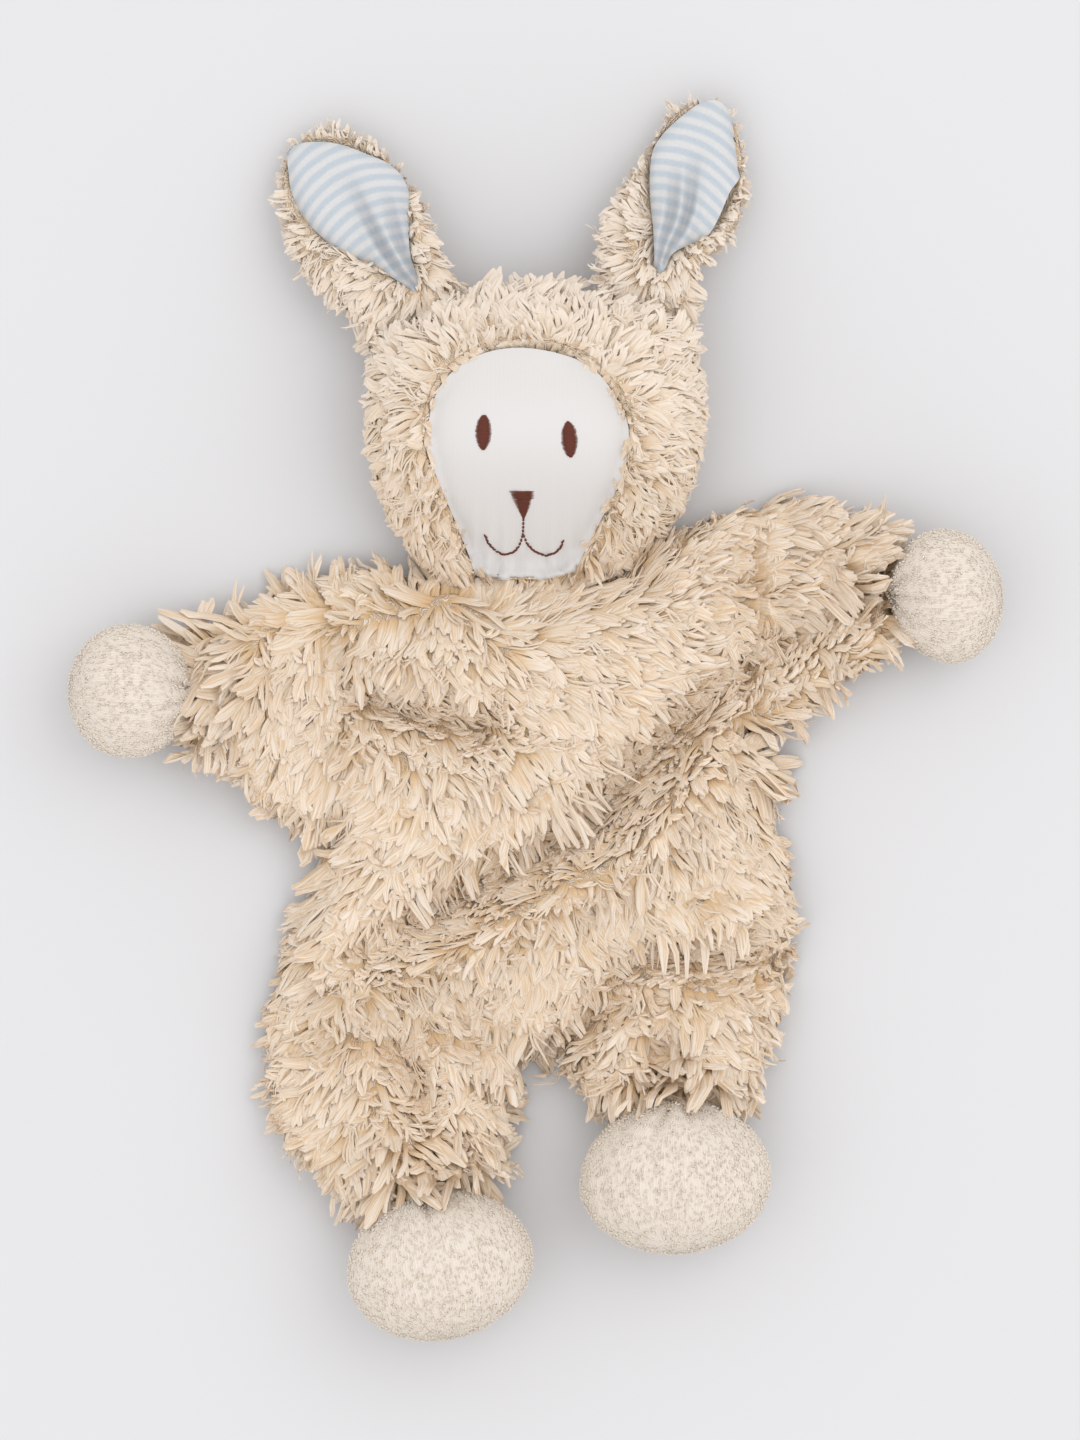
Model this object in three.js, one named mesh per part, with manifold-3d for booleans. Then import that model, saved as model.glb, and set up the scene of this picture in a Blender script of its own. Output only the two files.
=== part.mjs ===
// A plush bunny comforter lying on its back, in millimetres: +Z up, +Y towards the ears.
// Two panels of cotton pile are sewn into a flat star-shaped bag that lies in folds. A stuffed
// head in a pile hood sits at its neck, and a stuffed terry ball is gathered onto each arm and leg.

import * as THREE from 'three';
import { mergeVertices } from 'three/addons/utils/BufferGeometryUtils.js';
import Module from 'manifold-3d';

const wasm = await Module();
wasm.setup();

// Cloth and clearances
const pieceGap = 0.3;
const seamHeight = 6;
const pileDepth = 6;
const jerseyThickness = 1;
const terryThickness = 2;
const threadDiameter = 1.4;
const seatTrim = 0.5;

// Body bag
const loftHeight = 5;
const foldHeight = 11;
const foldDepth = 6;

// Head
const headFront = 22;
const headBack = 14;
const headSeamHeight = 20;
const neckWidth = 57;
const neckHeight = 8;

// Stuffed terry balls: along the limb, across it, and their height as they lie
const hand = { length: 35, width: 41, height: 34, collar: 5, wristHeight: 9 };
const foot = { length: 43, width: 55, height: 38, collar: 6.5, wristHeight: 10 };

// Embroidery
const stitchHeight = 0.7;
const eyeWidth = 4.4;
const eyeLength = 10;
const mouthLine = 0.7;

// Ears
const earLength = 60;
const earRootWidth = 26;
const earThickness = 12;
const earBaseHeight = 17;
const liningDepth = 3;
const pleatHeight = 1.6;

// How far the joints fold, in degrees, for the room that is left at the folds
const limbFold = [-60, 100];
const foldEase = 1;
const sideRoom = 4.5;
const neckNod = [-40, 40];

const materials = {
  cottonPile: new THREE.MeshStandardMaterial({ color: '#ecdcc0', roughness: 0.95, metalness: 0 }),
  terry: new THREE.MeshStandardMaterial({ color: '#ede3d3', roughness: 0.9, metalness: 0 }),
  faceJersey: new THREE.MeshStandardMaterial({ color: '#f4f3f1', roughness: 0.85, metalness: 0 }),
  stripedJersey: new THREE.MeshStandardMaterial({ color: '#dbe6ef', roughness: 0.85, metalness: 0 }),
  stitching: new THREE.MeshStandardMaterial({ color: '#5e2a22', roughness: 0.6, metalness: 0 }),
  stuffing: new THREE.MeshStandardMaterial({ color: '#fbfaf6', roughness: 1, metalness: 0 }),
  thread: new THREE.MeshStandardMaterial({ color: '#efe8da', roughness: 0.7, metalness: 0 }),
};

// Solids and meshes

function toSolid(geometry) {
  const plain = geometry.clone();
  for (const name of Object.keys(plain.attributes)) {
    if (name !== 'position') plain.deleteAttribute(name);
  }
  const merged = mergeVertices(plain, 1e-4);
  const vertProperties = new Float32Array(merged.attributes.position.array);
  const triVerts = new Uint32Array(merged.index.array);
  return new wasm.Manifold(new wasm.Mesh({ numProp: 3, vertProperties, triVerts }));
}

function toMesh(name, solid, material) {
  const { vertProperties, triVerts } = solid.getMesh();
  const geometry = new THREE.BufferGeometry();
  geometry.setAttribute('position', new THREE.BufferAttribute(vertProperties, 3));
  geometry.setIndex(new THREE.BufferAttribute(triVerts, 1));
  geometry.computeVertexNormals();
  const mesh = new THREE.Mesh(geometry, material);
  mesh.name = name;
  return mesh;
}

const smoothstep = THREE.MathUtils.smoothstep;
const flat = (x, y, z = 0) => new THREE.Vector3(x, y, z);

// A closed skin through rings of equally many points, capped at both ends
function loft(rings) {
  const count = rings[0].length;
  const points = rings.flat();
  const index = [];
  for (let r = 0; r + 1 < rings.length; r++) {
    for (let i = 0; i < count; i++) {
      const [a, b] = [r * count + i, r * count + ((i + 1) % count)];
      index.push(a, b, b + count, a, b + count, a + count);
    }
  }
  for (const [ring, turned] of [[0, true], [rings.length - 1, false]]) {
    const middle = new THREE.Vector3();
    rings[ring].forEach((p) => middle.addScaledVector(p, 1 / count));
    const apex = points.push(middle) - 1;
    for (let i = 0; i < count; i++) {
      const [a, b] = [ring * count + i, ring * count + ((i + 1) % count)];
      index.push(...(turned ? [b, a, apex] : [a, b, apex]));
    }
  }
  let volume = 0;
  for (let i = 0; i < index.length; i += 3) {
    const [a, b, c] = [0, 1, 2].map((k) => points[index[i + k]]);
    volume += a.dot(b.clone().cross(c));
  }
  if (volume < 0) index.reverse();
  const geometry = new THREE.BufferGeometry().setFromPoints(points);
  geometry.setIndex(index);
  return geometry;
}

function closedCurve(points, count) {
  const curve = new THREE.CatmullRomCurve3(points.map(([x, y]) => flat(x, y)), true, 'centripetal');
  return curve.getSpacedPoints(count).slice(0, count);
}

// The outline moved outwards by a distance, along its own normals
function grown(outline, distance) {
  const count = outline.length;
  const area = outline.reduce((sum, p, i) => sum + p.x * outline[(i + 1) % count].y
    - outline[(i + 1) % count].x * p.y, 0);
  return outline.map((p, i) => {
    const along = outline[(i + 1) % count].clone().sub(outline[(i + count - 1) % count]).normalize();
    const side = Math.sign(area) * distance;
    return flat(p.x + along.y * side, p.y - along.x * side);
  });
}

// A cushion over an outline: heightAt(x, y, share) gives [lowest, highest] at a share of the way to the edge
function cushion(outline, centre, heightAt, topRings, bottomRings, edgeBias = 1) {
  const ringAt = (share, top) => outline.map((p) => {
    const x = THREE.MathUtils.lerp(centre[0], p.x, share);
    const y = THREE.MathUtils.lerp(centre[1], p.y, share);
    const [low, high] = heightAt(x, y, share);
    return flat(x, y, top ? high : low);
  });
  const rings = [];
  const shareOf = (i, n) => THREE.MathUtils.lerp(i / n, Math.sin((i / n) * Math.PI / 2), edgeBias);
  for (let i = 1; i <= bottomRings; i++) rings.push(ringAt(shareOf(i, bottomRings), false));
  for (let i = topRings - 1; i >= 1; i--) rings.push(ringAt(shareOf(i, topRings), true));
  return toSolid(loft(rings));
}

function prism(outline, low = -50, high = 150) {
  const shape = new THREE.Shape(outline.map((p) => new THREE.Vector2(p.x, p.y)));
  const geometry = new THREE.ExtrudeGeometry(shape, { depth: high - low, bevelEnabled: false });
  return toSolid(geometry.translate(0, 0, low));
}

function box(lowX, highX, lowY, highY, lowZ, highZ) {
  const geometry = new THREE.BoxGeometry(highX - lowX, highY - lowY, highZ - lowZ);
  return geometry.translate((lowX + highX) / 2, (lowY + highY) / 2, (lowZ + highZ) / 2);
}

const far = 400;
const aboveFloor = toSolid(box(-far, far, -far, far, 0, far));

// All space over a seam that runs across the bag, through [y, z] points, raised by an offset
function overSeam(seam, offset) {
  const [first, last] = [seam[0], seam[seam.length - 1]];
  const edge = [[-far, first[1]], ...seam, [far, last[1]]].map(([y, z]) => new THREE.Vector2(y, z + offset));
  const shape = new THREE.Shape([...edge, new THREE.Vector2(far, far), new THREE.Vector2(-far, far)]);
  const geometry = new THREE.ExtrudeGeometry(shape, { depth: 2 * far, bevelEnabled: false });
  const turn = new THREE.Matrix4().makeBasis(flat(0, 1), flat(0, 0, 1), flat(1, 0));
  return toSolid(geometry.translate(0, 0, -far).applyMatrix4(turn));
}

const bagSeam = [[0, seamHeight]];

// A piece cut along a seam, with the gap shared by both halves
function parted(solid, seam) {
  return [solid.intersect(overSeam(seam, pieceGap / 2)), solid.subtract(overSeam(seam, -pieceGap / 2))];
}

// Folds of the body cloth: crests and creases along lines across the bag

const crests = [
  { line: [[-72, 22], [-48, 24], [-20, 20], [15, 19], [46, 34]], height: 0.75, width: 19 },
  { line: [[63, -8], [28, -41], [-18, -64], [-56, -84]], height: 1, width: 12 },
  { line: [[70, -52], [46, -68], [26, -88]], height: 0.35, width: 12 },
  { line: [[-62, -70], [-52, -96], [-36, -118]], height: 0.3, width: 12 },
  { line: [[76, 46], [98, 40]], height: 0.2, width: 14 },
];
const creases = [
  { line: [[94, 37], [74, 23], [51, 8], [28, -15], [13, -32], [-12, -46], [-34, -58]], height: 1, width: 8 },
  { line: [[-54, 4], [-34, -2], [-16, -6]], height: 0.6, width: 8 },
  { line: [[71, -69], [28, -70], [5, -92], [-6, -108]], height: 0.8, width: 8 },
];

function distanceToLine(line, x, y) {
  let nearest = Infinity;
  for (let i = 0; i + 1 < line.length; i++) {
    const [[ax, ay], [bx, by]] = [line[i], line[i + 1]];
    const [dx, dy] = [bx - ax, by - ay];
    const share = THREE.MathUtils.clamp(((x - ax) * dx + (y - ay) * dy) / (dx * dx + dy * dy), 0, 1);
    nearest = Math.min(nearest, Math.hypot(x - ax - share * dx, y - ay - share * dy));
  }
  return nearest;
}

function relief(x, y) {
  const rise = (folds) => folds.reduce((most, { line, height, width }) => (
    Math.max(most, height * Math.exp(-((distanceToLine(line, x, y) / width) ** 2)))), 0);
  return loftHeight + foldHeight * rise(crests) - foldDepth * rise(creases);
}

// Fold lines: a limb turns about the line from one side of its root to the other

function foldLine(rib, height) {
  const [from, to] = rib.map(([x, y]) => flat(x, y, height));
  const along = to.clone().sub(from).normalize();
  return { from, to, along, centre: from.clone().add(to).multiplyScalar(0.5) };
}

// A frame whose x points out along the limb, y along its fold line and z up
function foldFrame(fold, outward) {
  const x = flat(-fold.along.y, fold.along.x);
  if (x.dot(outward) < 0) x.negate();
  const z = flat(0, 0, 1);
  return new THREE.Matrix4().makeBasis(x, z.clone().cross(x), z).setPosition(fold.centre);
}

// The room that a limb's root needs in what it folds on, at rest and at both ends of its range
function foldRoom(frame, halfThickness, halfWidth, angles) {
  const half = halfThickness + pieceGap;
  const side = halfWidth + sideRoom;
  const folded = half + foldEase;
  const geometries = [box(-half, far, -side, side, -far, far)];
  for (const angle of angles) {
    const slab = box(0, far, -side, side, -folded, folded);
    geometries.push(slab.applyMatrix4(new THREE.Matrix4().makeRotationY(THREE.MathUtils.degToRad(-angle))));
  }
  return geometries.map((g) => toSolid(g.applyMatrix4(frame))).reduce((a, b) => a.add(b));
}

// Limbs: ribs run from one edge of the limb to the other, from the fold at its root to the wrist

const limbs = {
  arm_left: {
    ribs: [[[-66.7, 37], [-64.5, -33]], [[-80, 31], [-79, -25]], [[-93.5, 23.5], [-94.5, -10]]],
    ball: hand,
    ballName: 'hand_left',
  },
  arm_right: {
    ribs: [[[66, 62.5], [66, -5]], [[80, 61], [81, 4]], [[92.8, 53.5], [95.2, 16]]],
    ball: hand,
    ballName: 'hand_right',
  },
  leg_left: {
    ribs: [[[-79.5, -101], [-5, -94.5]], [[-75, -118], [-9.5, -112]], [[-59.3, -135.6], [-12.7, -124.4]]],
    ball: foot,
    ballName: 'foot_left',
  },
  leg_right: {
    ribs: [[[3, -93], [71.5, -81.5]], [[8.5, -99], [67.5, -92]], [[14, -104.5], [62, -102]]],
    ball: foot,
    ballName: 'foot_right',
  },
};

const ribSteps = 8;
const capAngles = [78, 52, 26];
const sectionPoints = 18;
const sectionSquareness = 0.55;
const cornerRound = 0.16;
const fullBulge = 0.7;
const fullBulgeLength = 33;

function limbSection(from, to, height, half, outward, shift, crest) {
  const middle = from.clone().add(to).multiplyScalar(0.5);
  const across = to.clone().sub(from).multiplyScalar(0.5 * (1 - cornerRound * (1 - half / seamHeight)));
  const ring = [];
  for (let i = 0; i < sectionPoints; i++) {
    const angle = (i / sectionPoints) * 2 * Math.PI;
    const [c, s] = [Math.cos(angle), Math.sin(angle)];
    const side = Math.sign(c) * Math.abs(c) ** sectionSquareness;
    const rise = Math.sign(s) * Math.abs(s) ** sectionSquareness;
    const p = middle.clone().addScaledVector(across, side).addScaledVector(outward, shift);
    const swell = rise > 0 ? crest(p.x, p.y) * rise : 0;
    p.z = height + half * rise + swell;
    ring.push(p);
  }
  return ring;
}

function limbSolid(limb) {
  const curves = [0, 1].map((end) => (
    new THREE.CatmullRomCurve3(limb.ribs.map((rib) => flat(...rib[end])), false, 'centripetal')));
  const { wristHeight } = limb.ball;
  const rings = [];
  for (const degrees of capAngles) {
    const angle = THREE.MathUtils.degToRad(degrees);
    const [from, to] = curves.map((curve) => curve.getPoint(0));
    const half = seamHeight * Math.cos(angle);
    rings.push(limbSection(from, to, seamHeight, half, limb.outward, -seamHeight * Math.sin(angle), () => 0));
  }
  for (let i = 0; i <= ribSteps; i++) {
    const t = i / ribSteps;
    const [from, to] = curves.map((curve) => curve.getPoint(t));
    const height = THREE.MathUtils.lerp(seamHeight, wristHeight, smoothstep(t, 0.4, 1));
    const bulge = limb.bulge * smoothstep(t, 0.3, 0.6) * (1 - smoothstep(t, 0.65, 0.95));
    rings.push(limbSection(from, to, height, seamHeight, limb.outward, 0, (x, y) => bulge * relief(x, y)));
  }
  for (const degrees of [...capAngles].reverse()) {
    const angle = THREE.MathUtils.degToRad(degrees);
    const [from, to] = curves.map((curve) => curve.getPoint(1));
    const half = seamHeight * Math.cos(angle);
    rings.push(limbSection(from, to, wristHeight, half, limb.wristOutward, seamHeight * Math.sin(angle), () => 0));
  }
  return toSolid(loft(rings)).intersect(aboveFloor);
}

for (const limb of Object.values(limbs)) {
  const [root, wrist] = [limb.ribs[0], limb.ribs[limb.ribs.length - 1]];
  const way = foldLine(wrist, 0).centre.sub(foldLine(root, 0).centre);
  limb.bulge = fullBulge * Math.min(1, (way.length() / fullBulgeLength) ** 2);
  limb.fold = foldLine(root, seamHeight);
  limb.wrist = foldLine(wrist, limb.ball.wristHeight);
  limb.frame = foldFrame(limb.fold, way);
  limb.wristFrame = foldFrame(limb.wrist, way);
  limb.outward = new THREE.Vector3().setFromMatrixColumn(limb.frame, 0);
  limb.wristOutward = new THREE.Vector3().setFromMatrixColumn(limb.wristFrame, 0);
}

// Stuffed balls: revolved about the limb's line, widened across it, tipped down to lie on the surface

const ballSteps = 8;
const ballSegments = 18;
const ringSegments = 14;
const ringSides = 5;

function ballProfile(ball, inset, collarRadius, steps, collarStart = 0) {
  const [half, radius] = [ball.length / 2 - inset, ball.height / 2 - inset];
  const open = Math.asin(collarRadius / radius);
  const profile = [];
  for (let i = 0; i <= steps; i++) {
    const angle = THREE.MathUtils.lerp(0, Math.PI - open, i / steps);
    const y = ball.length / 2 + half * Math.cos(angle);
    profile.push(new THREE.Vector2(i === 0 ? 0 : radius * Math.sin(angle), y));
  }
  profile.push(new THREE.Vector2(collarRadius, collarStart));
  return profile;
}

function placeBall(geometry, limb) {
  const { ball } = limb;
  const reach = seamHeight + pieceGap;
  const drop = ball.height / 2 - seatTrim - ball.wristHeight;
  const tilt = Math.asin(drop / (reach + ball.length / 2));
  geometry.scale(ball.width / ball.height, 1, 1);
  geometry.rotateZ(-Math.PI / 2);
  geometry.translate(reach, 0, 0);
  geometry.rotateY(-tilt);
  return geometry.applyMatrix4(limb.wristFrame);
}

function ballPieces(limb) {
  const { ball } = limb;
  const outer = ballProfile(ball, 0, ball.collar, ballSteps);
  const inner = ballProfile(ball, terryThickness, ball.collar - terryThickness / 2, ballSteps - 2);
  const cover = new THREE.LatheGeometry([...inner, ...outer.reverse()], ballSegments);
  const threadPlace = pieceGap + threadDiameter / 2;
  const fillingStart = threadPlace + threadDiameter / 2 + pieceGap;
  const filling = ballProfile(ball, terryThickness + pieceGap, ball.collar - terryThickness, ballSteps - 2,
    fillingStart);
  filling.push(new THREE.Vector2(0, fillingStart));
  const stuffing = new THREE.LatheGeometry(filling.reverse(), ballSegments);
  const ringRadius = ball.collar - terryThickness / 2 - pieceGap - threadDiameter / 2;
  const ring = [];
  for (let i = 0; i <= ringSides; i++) {
    const angle = (i / ringSides) * 2 * Math.PI;
    const radius = threadDiameter / 2;
    ring.push(new THREE.Vector2(ringRadius + radius * Math.cos(angle), threadPlace + radius * Math.sin(angle)));
  }
  const thread = new THREE.LatheGeometry(ring, ringSegments);
  return [cover, stuffing, thread].map((g) => toSolid(placeBall(g, limb)).intersect(aboveFloor));
}

// Ears: a leaf of pile, dished in front, with a striped lining laid into the dish in pleats

const ears = {
  ear_left: {
    base: [[-51.9, 109.8], [-23.4, 125]],
    pile: [[-14, -8], [-16, 4], [-19.5, 18], [-18.5, 40], [-13.5, 55], [-5, 62], [3, 61.5], [14.5, 48], [19, 30], [16, 10],
      [14, -8]],
    lining: [[3, 5], [-4.5, 19], [-10.5, 29], [-13.5, 41], [-11.5, 52], [-5.5, 57], [3.5, 55], [13, 42], [13.5, 31],
      [10, 20]],
    pleats: [[[4, 4], [1, 26], [-6, 44]], [[4, 4], [8, 24], [7, 38]]],
  },
  ear_right: {
    base: [[16.4, 124.6], [42.4, 117]],
    pile: [[-13.5, -8], [-15, 4], [-18.5, 17], [-16.5, 28], [-12.5, 42], [-8, 57], [0, 62], [8.5, 60], [15, 45], [16.5, 27],
      [13, 10], [13, -8]],
    lining: [[0, 7.5], [-6.5, 22], [-10.5, 34], [-10, 45], [-6, 54], [0, 58], [6.5, 55], [11.5, 43], [11.5, 31],
      [7.5, 18]],
    pleats: [[[0, 8], [1, 26], [-4, 44]], [[0, 8], [4, 24], [3, 36]]],
  },
};
const earFoldRadius = earThickness / 2;
const earDrawnLength = 62;
const earScale = earLength / earDrawnLength;
for (const ear of Object.values(ears)) {
  ear.frame = foldFrame(foldLine(ear.base, earBaseHeight), flat(0, 1));
  ear.rootReach = Math.max(...ear.pile.filter(([, y]) => y < 8).map(([x]) => Math.abs(x))) + 1;
}

function earPieces(name, ear) {
  const tilt = Math.asin((earBaseHeight - earFoldRadius) / earLength);
  const leaf = (points) => points.map(([x, y]) => [x, y * earScale]);
  const outline = closedCurve(leaf(ear.pile), 26);
  const inner = closedCurve(leaf(ear.lining), 22);
  const pleatAt = (x, y) => ear.pleats.reduce((most, line) => (
    Math.max(most, Math.exp(-((distanceToLine(leaf(line), x, y) / 2) ** 2)))), 0);
  const dish = earFoldRadius - liningDepth;
  const leafForm = cushion(outline, [0, 30 * earScale], (x, y, share) => {
    const round = (1 - Math.min(share, 1) ** 3.2) ** 0.5;
    return [-earFoldRadius * round, earFoldRadius * round];
  }, 5, 4);
  const rootRoll = new THREE.CylinderGeometry(earFoldRadius, earFoldRadius, earRootWidth, 20)
    .rotateZ(Math.PI / 2);
  const beyond = toSolid(box(-far, far, 0, far, -far, far));
  const room = prism(grown(inner, pieceGap), dish - pieceGap);
  const back = leafForm.intersect(beyond).add(toSolid(rootRoll)).subtract(room);
  const lining = cushion(inner, [0, 32 * earScale], (x, y) => (
    [dish, dish + jerseyThickness + pleatHeight * pleatAt(x, y)]), 6, 2);
  const turn = new THREE.Matrix4().makeRotationY(tilt).multiply(new THREE.Matrix4().makeRotationZ(-Math.PI / 2));
  const place = (solid) => {
    const geometry = toMesh('', solid, null).geometry;
    return toSolid(geometry.applyMatrix4(turn).applyMatrix4(ear.frame)).intersect(aboveFloor);
  };
  return {
    [`${name}_back`]: [place(back), materials.cottonPile],
    [`${name}_lining`]: [place(lining), materials.stripedJersey],
  };
}

// Head

const headCentre = [-3, 84];
const headOutline = closedCurve([
  [-30, 47], [-41.5, 62], [-45.5, 81], [-44, 99], [-36, 108.5], [-22, 114], [0, 116], [24, 113.5],
  [37, 107.5], [41.8, 95], [41.3, 76], [36.5, 61.5], [24, 49.5], [8, 44], [-14, 43],
], 32);
const neckY = 44;
const neckX = -7;
const cheekY = 78;
const headSeam = [[neckY, neckHeight], [cheekY, headSeamHeight]];

function headForm(offset) {
  return cushion(grown(headOutline, offset), headCentre, (x, y, share) => {
    const away = smoothstep(y, neckY - offset, cheekY);
    const middle = THREE.MathUtils.lerp(neckHeight, headSeamHeight, away);
    const front = THREE.MathUtils.lerp(neckHeight * 1.1, headFront, away) + offset;
    const back = THREE.MathUtils.lerp(neckHeight, headBack, away) + offset;
    const round = Math.sqrt(1 - Math.min(share, 1) ** 2.6);
    return [middle - back * Math.sqrt(1 - Math.min(share, 1) ** 4), middle + front * round];
  }, 8, 4);
}

const faceOutline = closedCurve([
  [-3.5, 105], [-17, 103], [-26, 97], [-30.7, 88], [-31.6, 80], [-28.5, 67.5], [-22.5, 54], [-17.5, 43.5],
  [-5, 41], [8, 43.5], [14.5, 54], [21.5, 67.5], [24, 79], [22.5, 88], [16, 97], [8, 102.5],
], 34);

const neckFold = foldLine([[neckX - neckWidth / 2, neckY], [neckX + neckWidth / 2, neckY]], neckHeight);
const neckFrame = foldFrame(neckFold, flat(0, 1));

// What the head may fill at its neck: all beyond the fold line, and a roll about it
const headReach = toSolid(box(-far, far, neckY, far, -far, far))
  .add(toSolid(new THREE.CylinderGeometry(neckHeight, neckHeight, neckWidth, 28)
    .rotateZ(Math.PI / 2).translate(neckX, neckY, neckHeight)));

const stuffed = headForm(-jerseyThickness - pieceGap);
const jerseySkin = headForm(0).subtract(headForm(-jerseyThickness));
const pileSkin = headForm(pileDepth).intersect(aboveFloor).subtract(headForm(pieceGap));

function headPieces() {
  const [hoodSide, backSide] = parted(pileSkin.intersect(headReach), headSeam);
  const hood = hoodSide.subtract(prism(grown(faceOutline, pieceGap)));
  const earRooms = Object.values(ears).map((ear) => foldRoom(ear.frame, earFoldRadius, ear.rootReach, []));
  const face = jerseySkin.intersect(overSeam(headSeam, 0)).intersect(prism(faceOutline)).intersect(headReach);
  return {
    hood_front: [earRooms.reduce((left, room) => left.subtract(room), hood), materials.cottonPile],
    head_back: [earRooms.reduce((left, room) => left.subtract(room), backSide), materials.cottonPile],
    face_panel: [face, materials.faceJersey],
    head_filling: [stuffed.intersect(headReach), materials.stuffing],
  };
}

// Embroidery stands on the face panel, cut from a skin that follows it

const stitchSkin = headForm(pieceGap + stitchHeight).subtract(headForm(pieceGap))
  .intersect(overSeam(headSeam, 0));

function ellipse(x, y, width, length, lean) {
  const curve = new THREE.EllipseCurve(x, y, width / 2, length / 2, 0, 2 * Math.PI, false, lean);
  return curve.getSpacedPoints(20).slice(0, 20);
}

function smileOutline(line, width) {
  const curve = new THREE.CatmullRomCurve3(line.map(([x, y]) => flat(x, y)), false, 'centripetal');
  const points = curve.getSpacedPoints(14);
  const side = (sign) => points.map((p, i) => {
    const along = curve.getTangentAt(i / 14);
    return flat(p.x - sign * along.y * width / 2, p.y + sign * along.x * width / 2);
  });
  return [...side(1), ...side(-1).reverse()];
}

const noseTop = [[-9.1, 65.6], [-1.3, 65.1]];
const noseTip = [-5.3, 57.2];
const smileDip = [-5.3, 52.7];
const smileLeft = [smileDip, [-6.6, 49.3], [-10, 47.6], [-13.4, 49], [-16.1, 53.3]];
const smileRight = [smileDip, [-2.5, 49.2], [1.2, 47.3], [4.6, 48.5], [6.1, 51.6]];

const stitched = (outline) => stitchSkin.intersect(prism(outline));

function facePieces() {
  const nose = [...noseTop, noseTip].map(([x, y]) => flat(x, y));
  const stem = smileOutline([[noseTip[0], noseTip[1] + 1], smileDip], mouthLine);
  const smile = prism(smileOutline(smileLeft, mouthLine))
    .add(prism(smileOutline(smileRight, mouthLine)))
    .add(prism(ellipse(...smileDip, mouthLine * 1.3, mouthLine * 1.3, 0)));
  return {
    eye_left: [stitched(ellipse(-16.4, 81.6, eyeWidth, eyeLength, 0)), materials.stitching],
    eye_right: [stitched(ellipse(7.9, 79.6, eyeWidth, eyeLength, -0.08)), materials.stitching],
    nose: [stitched(nose), materials.stitching],
    mouth: [stitchSkin.intersect(smile.add(prism(stem))).subtract(prism(grown(nose, pieceGap))),
      materials.stitching],
  };
}

// The torso bag, with room cut at its neck and at each limb's fold

const torsoCentre = [-2, -25];
const torsoOutline = closedCurve([
  [21, 42], [45, 59], [64, 63.5], [80, 57], [80, 5], [67, -8], [68, -26], [74, -46], [73, -69], [70, -84],
  [60, -98], [14, -104], [-1, -99], [-18, -106], [-70, -116], [-79, -101], [-80, -86], [-77, -69], [-70, -58],
  [-63.5, -43], [-66, -34], [-80, -24], [-80, 30], [-62, 38.5], [-36, 44], [-20, 42],
], 60);

// The folds run out towards each fold line, where the bag lies flat and can bend
const foldFrames = [...Object.values(limbs).map((limb) => limb.frame), neckFrame];
const flatReach = 26;

function flatness(x, y) {
  return foldFrames.reduce((least, frame) => {
    const p = flat(x, y).applyMatrix4(frame.clone().invert());
    return Math.min(least, smoothstep(Math.hypot(p.x, Math.max(0, Math.abs(p.y) - flatReach)), 5, flatReach));
  }, 1);
}

function torsoSolid() {
  const bag = cushion(torsoOutline, torsoCentre, (x, y, share) => {
    const round = (1 - Math.min(share, 1) ** 8) ** 0.5;
    const rise = relief(x, y) * (1 - smoothstep(share, 0.82, 1)) * flatness(x, y);
    return [seamHeight - (seamHeight + seatTrim) * round, seamHeight + seamHeight * round + rise];
  }, 15, 4, 0.5);
  const rooms = Object.values(limbs).map(({ frame, fold }) => (
    foldRoom(frame, seamHeight, fold.from.distanceTo(fold.to) / 2, limbFold)));
  rooms.push(foldRoom(neckFrame, neckHeight, neckWidth / 2, neckNod));
  rooms.push(prism(grown(headOutline, pileDepth + pieceGap)));
  const headRoom = headForm(pileDepth + pieceGap).intersect(headReach);
  for (const angle of neckNod) {
    const turn = new THREE.Matrix4().makeRotationY(THREE.MathUtils.degToRad(-angle));
    rooms.push(headRoom.transform(neckFrame.clone().multiply(turn).multiply(neckFrame.clone().invert()).elements));
  }
  return rooms.reduce((left, room) => left.subtract(room), bag.intersect(aboveFloor));
}

// Assembly

const bunny = new THREE.Group();
const addPieces = (pieces) => {
  for (const [name, [solid, material]] of Object.entries(pieces)) bunny.add(toMesh(name, solid, material));
};

const [torsoFront, torsoBack] = parted(torsoSolid(), bagSeam);
addPieces({
  body_front: [torsoFront, materials.cottonPile],
  body_back: [torsoBack, materials.cottonPile],
});
for (const [name, limb] of Object.entries(limbs)) {
  const [front, back] = parted(limbSolid(limb), bagSeam);
  const [cover, stuffing, thread] = ballPieces(limb);
  addPieces({
    [`${name}_front`]: [front, materials.cottonPile],
    [`${name}_back`]: [back, materials.cottonPile],
    [limb.ballName]: [cover, materials.terry],
    [`${limb.ballName}_filling`]: [stuffing, materials.stuffing],
    [`${limb.ballName}_gathering_thread`]: [thread, materials.thread],
  });
}
addPieces(headPieces());
addPieces(facePieces());
for (const [name, ear] of Object.entries(ears)) addPieces(earPieces(name, ear));

// The origin is under the middle of the bunny, on the surface that it lies on
const extent = new THREE.Box3().setFromObject(bunny);
const middle = extent.getCenter(new THREE.Vector3());
bunny.position.set(-middle.x, -middle.y, -extent.min.z);

export default bunny;
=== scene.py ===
"""Dresses the flat plush bunny: combed cotton pile, terry balls, a jersey face and striped ear linings."""

import math

import bmesh
import bpy
import numpy as np
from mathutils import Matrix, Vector, noise
from mathutils.bvhtree import BVHTree


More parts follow.
